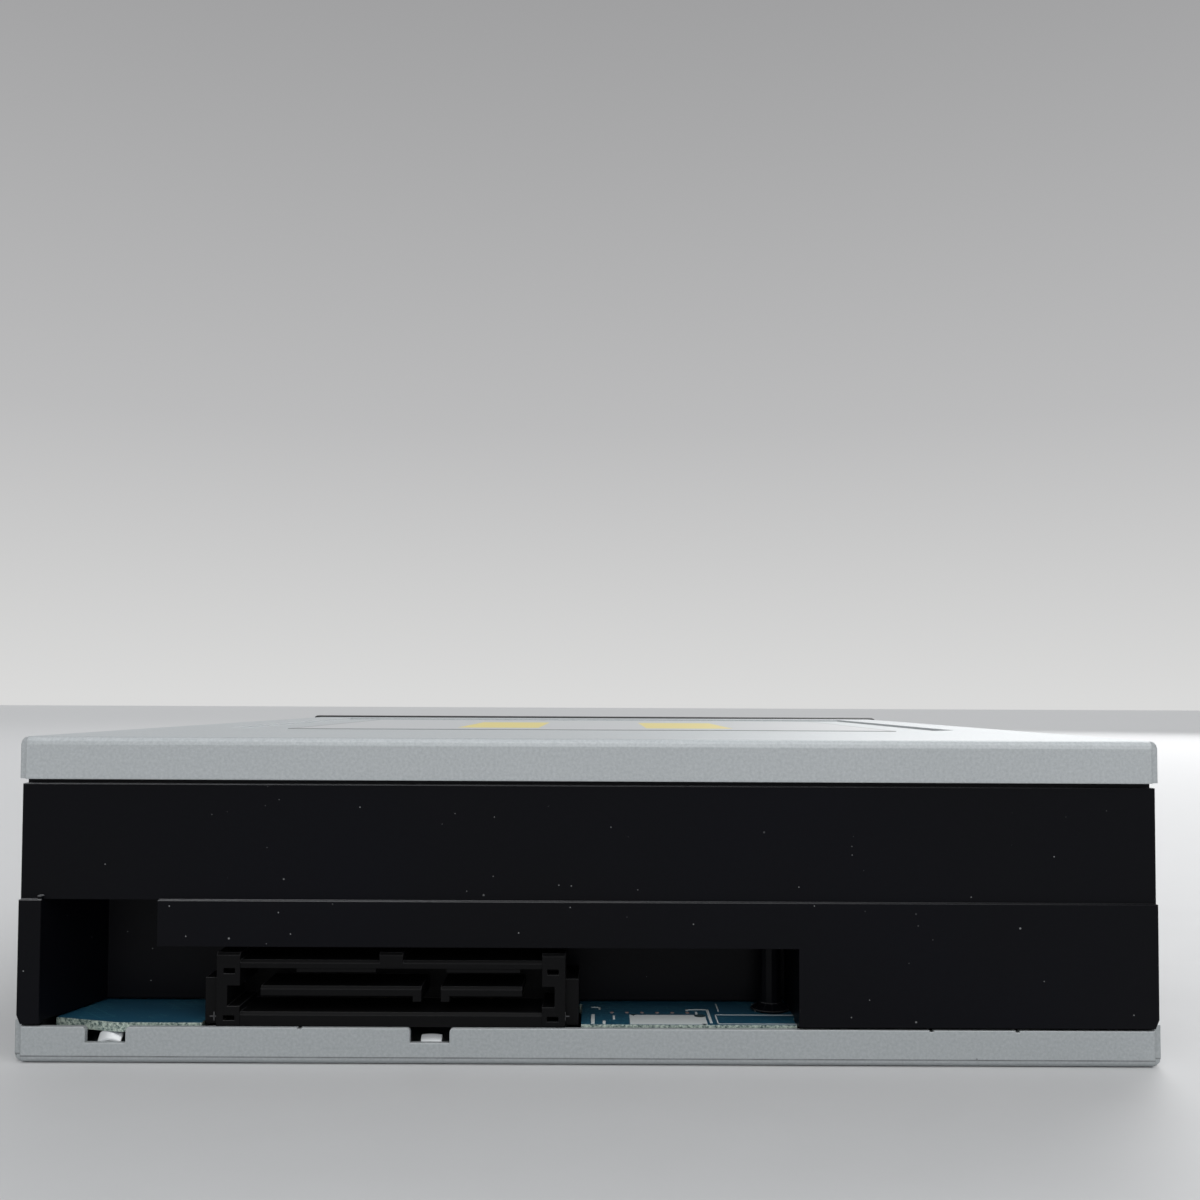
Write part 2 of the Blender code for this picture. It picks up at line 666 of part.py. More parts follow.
def frame_hollows():
    """The tray space above the deck, the board space below it and the connector bay."""
    top, low = FRAME_TOP + OVER, FRAME_BOTTOM - OVER
    return [
        box("tray_space", (-INNER_HALF, INNER_FRONT, DECK_TOP), (INNER_HALF, BULKHEAD, top)),
        box("tray_space_side", (-INNER_HALF, BULKHEAD - OVER, DECK_TOP),
            (BAY_SIDE, INNER_REAR, top)),
        box("tray_space_rear", (BAY_SIDE - OVER, BULKHEAD - OVER, BAY_ROOF_TOP),
            (INNER_HALF, INNER_REAR, top)),
        box("board_space", (-INNER_HALF, INNER_FRONT, low), (INNER_HALF, BULKHEAD, DECK_LOW)),
        box("board_space_side", (-INNER_HALF, BULKHEAD - OVER, low),
            (BAY_SIDE, INNER_REAR, DECK_LOW)),
        box("board_space_bay", (BAY_SIDE - OVER, BULKHEAD - OVER, low),
            (INNER_HALF, INNER_REAR, BOARD_TOP + CLEAR)),
        box("bay", (WINDOW_RIGHT, BAY_FRONT, low), (WINDOW_LEFT, BAY_REAR, LEDGE_Z)),
        box("window", (WINDOW_RIGHT, BAY_REAR - OVER, low), (WINDOW_LEFT, REAR + OVER, WINDOW_TOP)),
        box("recess", (RECESS_RIGHT, BAY_REAR - OVER, low), (WINDOW_LEFT, REAR + OVER, LEDGE_Z)),
        box("traverse_well", (-LIFT_HALF - 1.5, SLIDER_FRONT - 1.0, DECK_LOW - OVER),
            (LIFT_HALF + 1.5, BULKHEAD - CLEAR, DECK_TOP + OVER)),
        box("slider_well", (-CAM_PIN_X - SLIDER_TRAVEL - 5.0, SLIDER_FRONT - 0.9, DECK_LOW - OVER),
            (CAM_PIN_X + SLIDER_TRAVEL + 6.0, SLIDER_REAR + 0.6, DECK_TOP + OVER)),
    ]


def bay_side_outline():
    """The left wall of the bay leans inwards away from the window."""
    inside, wall = BAY_FRONT - 0.5, WINDOW_LEFT + 0.5
    return [(WINDOW_LEFT - BAY_SLANT, inside), (wall, inside), (wall, REAR - 0.1),
            (WINDOW_LEFT + 0.05, REAR - 0.1)]


def frame_rear_cuts():
    """What the covers' rear flanges take, and the step half way up the rear wall."""
    wide, inside = HALF_W + OVER, REAR - SHEET - CLEAR
    return [
        box("lid_flange_room", (-wide, inside, BAND_TOP), (wide, REAR + OVER, FRAME_TOP + OVER)),
        box("pan_flange_room", (-wide, inside, 0.0), (wide, REAR + OVER, PAN_REAR_FLANGE + CLEAR)),
        box("rear_step", (-wide, UPPER_REAR, LEDGE_Z), (wide, REAR + OVER, BAND_TOP + OVER)),
    ]


def frame_front_cuts():
    reach = (FRAME_FRONT - OVER, INNER_FRONT + OVER)
    cuts = [
        box("tray_mouth", (-TRAY_HALF - 1.8, reach[0], RAIL_LOW - 1.6),
            (TRAY_HALF + 1.8, reach[1], FRAME_TOP + OVER)),
        box("button_room", (BUTTON_X - BUTTON_W / 2 - 1.2, reach[0], BUTTON_Z - BUTTON_H / 2 - 1.2),
            (BUTTON_X + BUTTON_W / 2 + 1.2, reach[1], DECK_LOW - 0.2)),
        cylinder("light_hole", LED_R + 2 * CLEAR, *reach, (LED_X, BUTTON_Z), "Y", 12),
        cylinder("emergency_hole", EMERGENCY_R + CLEAR, *reach, (EMERGENCY_X, EMERGENCY_Z), "Y", 12),
    ]
    for x0, x1 in mirrored(INNER_HALF - 2.2, INNER_HALF + 0.01):
        cuts.append(box("hook_slot", (x0, reach[0], HOOK_Z[0] - CLEAR), (x1, reach[1], HOOK_Z[1] + CLEAR)))
    for x0, x1 in mirrored(INNER_HALF - OVER, HALF_W + OVER):
        cuts.append(box("hook_window", (x0, HOOK_Y[0] - CLEAR, HOOK_Z[0] - CLEAR),
                        (x1, HOOK_Y[1] + CLEAR, HOOK_Z[1] + CLEAR)))
    return cuts


def tray_guides():
    """Ledges under the tray's rails, with short keepers beside and above them."""
    made = []
    for x0, x1 in mirrored(TRAY_HALF - 2.0, INNER_HALF + 0.5):
        made.append(box("ledge", (x0, INNER_FRONT - 0.5, RAIL_LOW - CLEAR - 2.0),
                        (x1, BULKHEAD + 0.5, RAIL_LOW - CLEAR)))
    for y0, y1 in GUIDE_Y:
        for x0, x1 in mirrored(TRAY_HALF + CLEAR, INNER_HALF + 0.5):
            made.append(box("keeper", (x0, y0, RAIL_LOW - 1.0), (x1, y1, TRAY_TOP + 1.8)))
        for x0, x1 in mirrored(TRAY_HALF - 1.5, INNER_HALF - 0.5):
            made.append(box("keeper_lip", (x0, y0, TRAY_TOP + CLEAR), (x1, y1, TRAY_TOP + 1.8)))
    return made


def bracket_seats():
    made = []
    y0, y1 = SPINDLE_Y - BRACKET_HALF - 1.0, SPINDLE_Y + BRACKET_HALF + 1.0
    for x0, x1 in mirrored(INNER_HALF - 3.0, INNER_HALF + 0.5):
        made.append(box("bracket_seat", (x0, y0, TRAY_TOP + 3.0), (x1, y1, BRACKET_LOW - CLEAR)))
    return made


def frame_bosses():
    made = []
    for x, y in SCREW_PLACES:
        made.append(cylinder("screw_boss", SCREW_BOSS_R, PAN_TOP + SCREW_HEAD_T + CLEAR, DECK_LOW + 0.5,
                             (x, y)))
    for y in HOLE_Y:
        for x0, x1 in mirrored(BOTTOM_HOLE_HALF - MOUNT_BOSS_HALF, INNER_HALF + 0.5):
            made.append(box("mount_boss", (x0, y - MOUNT_BOSS_HALF, FRAME_BOTTOM),
                            (x1, y + MOUNT_BOSS_HALF, DECK_LOW + 0.5)))
    made.append(cylinder("tray_gear_post", TRAY_GEAR_POST_R, DECK_LOW + 1.0, TOP_GEAR[1] - 0.5,
                         (TRAY_GEAR_X, TRAY_GEAR_Y), sides=12))
    made.append(cylinder("pulley_post", PULLEY_POST_R, DECK_LOW + 1.0, BELT_Z + 3.0,
                         (PULLEY_X, TRAY_GEAR_Y), sides=12))
    made.append(cylinder("motor_seat", MOTOR_R + 1.6, DECK_LOW + 0.5, MOTOR_SEAT_Z,
                         (MOTOR_X, MOTOR_Y), sides=24))
    for x in (FRONT_BOARD_X0 + 4.0, FRONT_BOARD_X1 - 3.0):
        made.append(cylinder("front_board_post", 1.6, FRONT_BOARD_TOP + CLEAR, DECK_LOW + 0.5,
                             (x, INNER_FRONT + 12.0), sides=16))
    for x, y in BOARD_POSTS:
        made.append(cylinder("board_post", 2.4, BOARD_TOP + CLEAR, DECK_LOW + 0.5, (x, y), sides=12))
    for x0, x1 in mirrored(LIFT_HALF + 2.0, LIFT_HALF + 6.4):
        made.append(box("pivot_block", (x0, PIVOT_Y - 4.0, DECK_TOP - 0.5),
                        (x1, PIVOT_Y + 4.0, PIVOT_Z + PIVOT_R + 1.6)))
    for x in (MOTOR_X - 8.9, PULLEY_X - 11.2):
        made.append(box("slider_keeper", (x - 2.0, SLIDER_RACK_Y - 2.1, DECK_TOP - 0.5),
                        (x + 2.0, SLIDER_RACK_Y - CLEAR, SLIDER_FLANGE[1] + 1.7)))
        made.append(box("slider_keeper_lip", (x - 2.0, SLIDER_RACK_Y - 2.0, SLIDER_FLANGE[1] + CLEAR),
                        (x + 2.0, SLIDER_RACK_Y + 4.0, SLIDER_FLANGE[1] + 1.7)))
    return made


def frame_holes():
    made = []
    for x, y in SCREW_PLACES:
        made.append(cylinder("pilot", SCREW_R + CLEAR, 0.0, DECK_LOW - 0.6, (x, y), sides=12))
    for side in (-1, 1):
        for y in HOLE_Y:
            made.append(cylinder("bottom_pilot", SIDE_HOLE_R, 0.0, DECK_LOW - 1.0,
                                 (side * BOTTOM_HOLE_HALF, y), sides=12))
            for z in (HOLE_LOW, HOLE_HIGH):
                ends = sorted((side * (HALF_W + OVER), side * (INNER_HALF - 0.4)))
                made.append(cylinder("side_hole", SIDE_HOLE_R, *ends, (y, z), "X", 12))
    made.append(cylinder("motor_bore", MOTOR_R + CLEAR, 0.0, PAN_TOP + MOTOR_H + 0.8,
                         (MOTOR_X, MOTOR_Y), sides=24))
    made.append(cylinder("motor_boss_hole", 3.4, PAN_TOP + MOTOR_H, PAN_TOP + MOTOR_H + 4.0,
                         (MOTOR_X, MOTOR_Y), sides=16))
    for dx in MOTOR_SCREW_DX:
        made.append(cylinder("motor_screw_hole", 1.1, PAN_TOP + MOTOR_H, PAN_TOP + MOTOR_H + 4.0,
                             (MOTOR_X + dx, MOTOR_Y), sides=16))
    for x0, x1 in mirrored(LIFT_HALF + 1.0, LIFT_HALF + 7.4):
        made.append(cylinder("pivot_seat", PIVOT_R + CLEAR, x0, x1, (PIVOT_Y, PIVOT_Z), "X", 16))
        made.append(box("pivot_mouth", (x0, PIVOT_Y - PIVOT_R, PIVOT_Z),
                        (x1, PIVOT_Y + PIVOT_R, PIVOT_Z + PIVOT_R + 3.0)))
    return made


def make_main_frame():
    frame = outline("main_frame", frame_section(), FRAME_FRONT, REAR, "XZ")
    cut(frame, *frame_rear_cuts())
    cut(frame, *frame_hollows())
    cut(frame, *frame_front_cuts())
    join(frame, *tray_guides())
    join(frame, *bracket_seats())
    join(frame, *frame_bosses())
    join(frame, outline("bay_side", bay_side_outline(), BOARD_TOP + CLEAR, LEDGE_Z + 0.5))
    cut(frame, *frame_holes())
    join(frame, cylinder("pillar", 1.4, BOARD_TOP + CLEAR, LEDGE_Z + 0.5, PILLAR, sides=12),
         cylinder("pillar_foot", 2.7, BOARD_TOP + CLEAR, BOARD_TOP + 1.2, PILLAR, sides=12, end_radius=1.3))
    return paint(frame, BLACK)


# Front panel

def make_front_bezel():
    bezel = box("front_bezel", (-BEZEL_HALF, FRONT, 0.0), (BEZEL_HALF, BEZEL_BACK, BEZEL_H))
    soften(bezel, BEZEL_ROUND, 2)
    inside = BEZEL_HALF - BEZEL_SKIN
    cut(bezel, box("hollow", (-inside, FRONT + BEZEL_SKIN, BEZEL_SKIN - 0.4),
                   (inside, BEZEL_BACK + OVER, BEZEL_H - BEZEL_SKIN)))
    cut(bezel, box("tray_slot", (-SLOT_HALF, FRONT - OVER, DOOR_Z[0] - CLEAR),
                   (SLOT_HALF, FRONT + BEZEL_SKIN + OVER, DOOR_Z[1] + CLEAR)))
    cut(bezel, box("button_slot", (BUTTON_X - BUTTON_W / 2 - CLEAR, FRONT - OVER,
                                   BUTTON_Z - BUTTON_H / 2 - CLEAR),
                   (BUTTON_X + BUTTON_W / 2 + CLEAR, FRONT + BEZEL_SKIN + OVER,
                    BUTTON_Z + BUTTON_H / 2 + CLEAR)))
    cut(bezel, cylinder("light_hole", LED_R + CLEAR, FRONT - OVER, FRONT + BEZEL_SKIN + OVER,
                        (LED_X, BUTTON_Z), "Y", 12),
        cylinder("emergency_hole", EMERGENCY_R, FRONT - OVER, FRONT + BEZEL_SKIN + OVER,
                 (EMERGENCY_X, EMERGENCY_Z), "Y", 12))
    for x0, x1 in mirrored(INNER_HALF - 1.9, INNER_HALF - CLEAR):
        join(bezel, box("hook", (x0, FRONT + BEZEL_SKIN - 0.5, HOOK_Z[0]), (x1, HOOK_Y[1], HOOK_Z[1])))
    for x0, x1 in mirrored(INNER_HALF - 1.0, INNER_HALF + 1.2):
        join(bezel, box("barb", (x0, HOOK_Y[0], HOOK_Z[0]), (x1, HOOK_Y[1], HOOK_Z[1])))
    return paint(bezel, BEZEL_BLACK)


def make_eject_button():
    left, right = BUTTON_X - BUTTON_W / 2, BUTTON_X + BUTTON_W / 2
    low, top = BUTTON_Z - BUTTON_H / 2, BUTTON_Z + BUTTON_H / 2
    skin = FRONT + BEZEL_SKIN
    button = box("eject_button", (left, FRONT + 0.1, low), (right, skin + 1.5, top))
    soften(button, 0.35, 2)
    join(button, box("flange", (left - BUTTON_FLANGE, skin + CLEAR, low - BUTTON_FLANGE + 0.2),
                     (right + BUTTON_FLANGE, skin + 1.5, top + BUTTON_FLANGE - 0.2)),
         box("stem", (BUTTON_X - 2.0, skin + 1.0, BUTTON_Z - 1.5),
             (BUTTON_X + 2.0, SWITCH_Y - BUTTON_TRAVEL - 0.2, BUTTON_Z + 1.5)))
    carry(joint_empty("button_press", (BUTTON_X, FRONT, BUTTON_Z)), button)
    return paint(button, BEZEL_BLACK)


def make_light_pipe():
    pipe = cylinder("led_lens", LED_R, FRONT + 0.05, INNER_FRONT - 0.3, (LED_X, BUTTON_Z), "Y", 16)
    return paint(pipe, LIGHT_PIPE)


def make_front_board():
    board = box("front_board", (FRONT_BOARD_X0, INNER_FRONT + 0.5, FRONT_BOARD_LOW),
                (FRONT_BOARD_X1, INNER_FRONT + 15.0, FRONT_BOARD_TOP))
    boss = SCREW_PLACES[2]
    cut(board, cylinder("boss_room", SCREW_BOSS_R + CLEAR, FRONT_BOARD_LOW - OVER, FRONT_BOARD_TOP + OVER,
                        boss))
    paint(board, BOARD_BLUE)
    low = FRONT_BOARD_TOP + CLEAR
    switch = box("eject_switch", (BUTTON_X - 3.0, SWITCH_Y + 1.2, low),
                 (BUTTON_X + 3.0, SWITCH_Y + 4.6, BUTTON_Z + 1.9))
    join(switch, cylinder("plunger", 1.1, SWITCH_Y, SWITCH_Y + 1.6, (BUTTON_X, BUTTON_Z), "Y", 12))
    paint(switch, CHIP)
    light = box("activity_led", (LED_X - 1.5, INNER_FRONT + 0.6, low),
                (LED_X + 1.5, INNER_FRONT + 3.2, BUTTON_Z + 1.4))
    soften(light, 0.4, 2)
    paint(light, LIGHT_PIPE)


# Tray

def make_tray():
    wall_top = TRAY_TOP + TRAY_WALL_TOP
    tray = box("tray", (-TRAY_HALF, TRAY_FRONT, TRAY_TOP - TRAY_SKIN), (TRAY_HALF, TRAY_REAR, TRAY_TOP))
    for x0, x1 in mirrored(TRAY_HALF - TRAY_RAIL_W, TRAY_HALF):
        join(tray, box("rail", (x0, TRAY_FRONT, RAIL_LOW), (x1, RAIL_END, TRAY_TOP - 0.5)))
    join(tray, box("front_wall", (2.0 - TRAY_HALF, TRAY_FRONT, RAIL_LOW),
                   (TRAY_HALF - 2.0, TRAY_FRONT + 2.0, wall_top)),
         box("rear_wall", (-TRAY_HALF, TRAY_REAR - 2.0, TRAY_UNDER),
             (TRAY_HALF, TRAY_REAR, TRAY_TOP - 0.5)),
         cylinder("dish", DISC_POCKET_R + 2.0, TRAY_UNDER, TRAY_TOP - 0.4, (0.0, SPINDLE_Y), sides=48))
    cut(tray, cylinder("disc_pocket", DISC_POCKET_R, POCKET_Z, TRAY_TOP + OVER, (0.0, SPINDLE_Y), sides=48),
        cylinder("small_pocket", SMALL_POCKET_R, POCKET_Z - SMALL_POCKET_DEPTH, POCKET_Z + OVER,
                 (0.0, SPINDLE_Y), sides=36),
        cylinder("hub_hole", HUB_HOLE_R, TRAY_UNDER - OVER, TRAY_TOP + OVER, (0.0, SPINDLE_Y), sides=36),
        box("pickup_slot", (-PICKUP_SLOT_HALF, SPINDLE_Y, TRAY_UNDER - OVER),
            (PICKUP_SLOT_HALF, LENS_Y + SLED_TRAVEL + PICKUP_SLOT_MARGIN + 6.0, TRAY_TOP + OVER)))
    for side in (-1, 1):
        cut(tray, cylinder("finger_cut", 9.0, POCKET_Z, TRAY_TOP + OVER,
                           (side * DISC_POCKET_R * 0.78, SPINDLE_Y - DISC_POCKET_R * 0.72), sides=24))
    tip, step = RACK_X - 0.85 * GEAR_MODULE, math.pi * GEAR_MODULE
    before = int((TRAY_GEAR_Y - TRAY_FRONT - 8.0) / step)
    behind = int(TRAY_TRAVEL / step) + 1
    join(tray, box("rack_bar", (tip, TRAY_FRONT + 1.0, RAIL_LOW), (RACK_X + 3.5, RAIL_END, TRAY_TOP - 1.0)))
    cut(tray, rack_gaps(tip, RACK_X + 1.15 * GEAR_MODULE, RAIL_LOW - OVER, TRAY_UNDER - CLEAR,
                        TRAY_GEAR_Y - before * step, before + behind + 1, "Y"))
    door = box("tray_door", (-SLOT_HALF + 0.5, FRONT + 0.1, DOOR_Z[0]),
               (SLOT_HALF - 0.5, FRONT + 0.1 + DOOR_T, DOOR_Z[1]))
    soften(door, 0.5, 2)
    carry(joint_empty("tray_slide", (0.0, TRAY_FRONT, TRAY_UNDER)), tray, door)
    paint(tray, TRAY_GREY)
    paint(door, BEZEL_BLACK)


# Gears

def tooth_half_angle(radius, pitch, base, teeth):
    """Half the angle that an involute tooth takes at a radius."""
    def involute(r):
        slope = math.sqrt(max((r / base) ** 2 - 1.0, 0.0))
        return slope - math.atan(slope)
    half_pitch = (math.pi * pitch / teeth - BACKLASH / 2) / pitch / 2
    return half_pitch + involute(pitch) - involute(radius)


def gear_outline(module, teeth, turn=0.0, fine=True):
    """Points round an involute gear, the first tooth centred at an angle."""
    pitch = module * teeth / 2
    base = pitch * math.cos(math.radians(20))
    tip, root = pitch + 0.85 * module, pitch - 1.15 * module
    foot = max(base, root)
    flank = [foot, (foot + tip) / 2, tip] if fine else [foot, tip]
    points = []
    for i in range(teeth):
        middle = turn + 2 * math.pi * i / teeth
        rising = [(r, -tooth_half_angle(r, pitch, base, teeth)) for r in flank]
        rising[0] = (root, rising[0][1])
        edge = rising + [(r, -a) for r, a in reversed(rising)]
        points += [(r * math.cos(middle + a), r * math.sin(middle + a)) for r, a in edge]
    return points


def rack_gaps(tip, root, low, high, first, count, along):
    """Spaces between straight rack teeth, one prism repeated along X or Y."""
    step = math.pi * GEAR_MODULE
    slope = math.tan(math.radians(20))
    pitch, mouth = root - 1.15 * GEAR_MODULE, tip - OVER
    half = step / 4 + BACKLASH / 4
    wide, narrow = half + (pitch - mouth) * slope, half - (root - pitch) * slope
    gap = [(mouth, first - wide), (root, first - narrow), (root, first + narrow), (mouth, first + wide)]
    if along == "X":
        gap = [(b, a) for a, b in gap]
    tool = outline("rack_gap", gap, low, high)
    row = tool.modifiers.new("row", "ARRAY")
    row.count = count
    row.use_relative_offset = False
    row.use_constant_offset = True
    row.constant_offset_displace = (step * MM, 0, 0) if along == "X" else (0, step * MM, 0)
    return tool


def wheel(name, tiers, hub_r, hub, bore):
    """Toothed tiers on one hub, modelled round their own axis."""
    gear = cylinder(name, hub_r, *hub, sides=16)
    for points, (z0, z1) in tiers:
        join(gear, outline("tier", points, z0, z1))
    if bore:
        cut(gear, cylinder("bore", bore, hub[0] - OVER, hub[1] + OVER, sides=16))
    return gear


def make_gear_train():
    rack_mesh = gear_outline(GEAR_MODULE, TRAY_TEETH)
    plain_mesh = gear_outline(GEAR_MODULE, TRAY_TEETH, fine=False)
    half_tooth = math.pi / WHEEL_TEETH
    tray_gear = wheel("tray_gear", [(plain_mesh, LOW_GEAR),
                                    (gear_outline(FINE_MODULE, WHEEL_TEETH, half_tooth, fine=False),
                                     MID_GEAR),
                                    (rack_mesh, TOP_GEAR)],
                      TRAY_GEAR_R - 2.4, (LOW_GEAR[0], TOP_GEAR[1]), TRAY_GEAR_POST_R + CLEAR)
    tray_gear.location = Vector((TRAY_GEAR_X, TRAY_GEAR_Y, 0.0)) * MM
    paint(tray_gear, GEAR_WHITE)
    pulley = wheel("pulley_gear", [(gear_outline(FINE_MODULE, PINION_TEETH, 0.0), MID_GEAR)],
                   PINION_R - 1.5, (LOW_GEAR[0], BELT_Z + 2.6), 0.0)
    rim = PULLEY_R + 1.2
    join(pulley, turned("pulley_rim", [(0.0, BELT_Z + 1.5), (rim, BELT_Z + 1.5), (PULLEY_R, BELT_Z + 0.7),
                                       (PULLEY_R, BELT_Z - 0.7), (rim, BELT_Z - 1.5), (0.0, BELT_Z - 1.5)]))
    cut(pulley, cylinder("bore", PULLEY_POST_R + CLEAR, LOW_GEAR[0] - OVER, BELT_Z + 4.0, sides=16))
    pulley.location = Vector((PULLEY_X, TRAY_GEAR_Y, 0.0)) * MM
    paint(pulley, GEAR_WHITE)
    small = MOTOR_PULLEY_R + 1.0
    profile = [(0.0, BELT_Z + 1.5), (small, BELT_Z + 1.5), (MOTOR_PULLEY_R, BELT_Z + 0.7),
               (MOTOR_PULLEY_R, BELT_Z - 0.7), (small, BELT_Z - 1.5), (1.0, BELT_Z - 1.5),
               (1.0, MOTOR_TOP + 0.8), (0.0, MOTOR_TOP + 0.8)]
    driver = turned("motor_pulley", profile, (MOTOR_X, MOTOR_Y), steps=14)
    paint(driver, BLACK)


def belt_loop(grow):
    """Outline round both pulleys, joined by the two outside tangents."""
    r1, r2 = MOTOR_PULLEY_R + grow, PULLEY_R + grow
    dx, dy = PULLEY_X - MOTOR_X, TRAY_GEAR_Y - MOTOR_Y
    heading = math.degrees(math.atan2(dy, dx))
    tilt = math.degrees(math.acos((r1 - r2) / math.hypot(dx, dy)))
    far = arc((PULLEY_X, TRAY_GEAR_Y), r2, heading - tilt, heading + tilt, 16)
    near = arc((MOTOR_X, MOTOR_Y), r1, heading + tilt, heading + 360 - tilt, 12)
    return far + near


def make_loading_motor():
    motor = cylinder("loading_motor", MOTOR_R, PAN_TOP + 0.5, MOTOR_TOP, (MOTOR_X, MOTOR_Y), sides=24)
    join(motor, cylinder("boss", 3.0, MOTOR_TOP - 0.5, MOTOR_TOP + 0.5, (MOTOR_X, MOTOR_Y), sides=16))
    paint(motor, STEEL)
    belt = outline("drive_belt", belt_loop(CLEAR + BELT_T), BELT_Z - BELT_T / 2, BELT_Z + BELT_T / 2)
    cut(belt, outline("belt_inside", belt_loop(CLEAR), BELT_Z - BELT_T, BELT_Z + BELT_T))
    paint(belt, RUBBER)
    head, shaft, seat = 1.7, 0.8, MOTOR_SEAT_Z
    profile = [(0.0, seat + 1.3), (head - 0.5, seat + 1.3), (head, seat + 0.9), (head, seat + 0.3),
               (shaft, seat + 0.3), (shaft, MOTOR_TOP + 0.3), (0.0, MOTOR_TOP + 0.3)]
    for number, dx in enumerate(MOTOR_SCREW_DX, 1):
        screw = turned(f"motor_screw_{number}", profile, (MOTOR_X + dx, MOTOR_Y), steps=10)
        paint(screw, STEEL)


# Cam slider and lift frame

def cam_slot(x):
    """Slanted slot that the pin follows, in the slider's rest place."""
    low_y, low_z = lowered(CAM_PIN_Y, CAM_PIN_Z)
    high = (x - SLIDER_TRAVEL, CAM_PIN_Z)
    reach = CAM_PIN_R + CAM_SLOT_GAP
    slope = math.atan2(high[1] - low_z, high[0] - x)
    turn = math.degrees(slope)
    start = arc((x, low_z), reach, turn + 90, turn + 270, 9)
    end = arc(high, reach, turn - 90, turn + 90, 9)
    return start + end


def make_cam_slider():
    low = lowered(CAM_PIN_Y, CAM_PIN_Z)[1] - CAM_PIN_R - CAM_SLOT_GAP - 1.8
    top = CAM_PIN_Z + CAM_PIN_R + CAM_SLOT_GAP + 1.8
    left = CAM_PIN_X + 22.0
    right = -CAM_PIN_X - SLIDER_TRAVEL - 4.0
    slider = box("cam_slider", (right, SLIDER_FRONT, low), (CAM_PIN_X + 5.0, SLIDER_REAR, top))
    soften(slider, 0.3, 1)
    join(slider, box("flange", (right + 0.6, SLIDER_RACK_Y, SLIDER_FLANGE[0]),
                     (left - 0.6, SLIDER_REAR - 0.5, SLIDER_FLANGE[1])))
    cut(slider, rack_gaps(SLIDER_RACK_Y, SLIDER_RACK_Y + 2 * GEAR_MODULE, SLIDER_FLANGE[0] - OVER,
                          SLIDER_FLANGE[1] + OVER, left - 20.0, 6, "X"),
        box("front_relief", (right - OVER, SLIDER_RACK_Y - OVER, SLIDER_FLANGE[0] - OVER),
            (left - 24.0, SLIDER_RACK_Y + 2.4, SLIDER_FLANGE[1] + OVER)))
    for x in (-CAM_PIN_X, CAM_PIN_X):
        cut(slider, outline("slot", cam_slot(x), SLIDER_FRONT - 2.2, SLIDER_REAR + OVER, "XZ"))
    cut(slider, box("lightening", (-14.0, SLIDER_FRONT - OVER, SLIDER_FLANGE[1] + 2.0),
                    (-9.0, SLIDER_REAR + OVER, top - 1.6)))
    carry(joint_empty("cam_slide", (0.0, CAM_PIN_Y, SLIDER_FLANGE[0])), slider)
    return paint(slider, SLIDER_GREY)


def make_lift_frame():
    inner = LIFT_HALF - LIFT_WALL
    lift = box("lift_frame", (-LIFT_HALF, LIFT_Y0, LIFT_LOW), (LIFT_HALF, LIFT_Y1, LIFT_TOP))
    cut(lift, box("opening", (-inner, LIFT_Y0 + 3.0, LIFT_LOW - OVER),
                  (inner, LIFT_Y1 - 2.5, LIFT_TOP + OVER)))
    for x0, x1 in mirrored(LIFT_HALF - 1.6, LIFT_HALF + OVER):
        cut(lift, box("side_relief", (x0, LIFT_Y0 + 6.0, LIFT_LOW + 2.0),
                      (x1, PIVOT_Y - 8.0, LIFT_TOP - 1.6)))
    for sx in (-1, 1):
        for y in DAMPER_Y:
            ends = sorted((sx * (DAMPER_X - 4.2), sx * (inner + 0.5)))
            join(lift, box("shelf", (ends[0], y - 4.4, LIFT_LOW), (ends[1], y + 4.4, SHELF_TOP)),
                 cylinder("post", 2.0, SHELF_TOP - 0.5, PLATE_TOP + 0.6, (sx * DAMPER_X, y), sides=12))
            cut(lift, cylinder("post_bore", 1.2, LIFT_LOW + 0.6, PLATE_TOP + 2.0, (sx * DAMPER_X, y),
                               sides=16))
        join(lift, cylinder("cam_pin", CAM_PIN_R, SLIDER_FRONT - 0.5, LIFT_Y0 + 0.5,
                            (sx * CAM_PIN_X, CAM_PIN_Z), "Y", 16))
        ends = sorted((sx * (LIFT_HALF - 0.5), sx * (LIFT_HALF + 5.6)))
        join(lift, cylinder("pivot_pin", PIVOT_R, *ends, (PIVOT_Y, PIVOT_Z), "X", 16))
    return paint(lift, BLACK)


def make_dampers():
    made = []
    over, under = PLATE_TOP + 0.3, PLATE_LOW - 0.3
    rubber = [(2.3, over + 0.8), (3.7, over + 0.8), (3.7, over), (2.8, over), (2.8, under), (3.7, under),
              (3.7, SHELF_TOP + CLEAR), (2.3, SHELF_TOP + CLEAR)]
    head = PLATE_TOP + 1.4
    screw = [(0.0, head + 1.2), (2.6, head + 1.2), (3.2, head + 0.8), (3.2, head), (0.9, head),
             (0.9, LIFT_LOW + 1.0), (0.0, LIFT_LOW + 1.0)]
    places = [(sx * DAMPER_X, y) for y in DAMPER_Y for sx in (-1, 1)]
    for number, place in enumerate(places, 1):
        ring = turned(f"damper_{number}", rubber, place, steps=14, closed=True)
        made.append(paint(ring, RUBBER))
        made.append(paint(turned(f"damper_screw_{number}", screw, place, steps=10), STEEL))
    return made


# Traverse

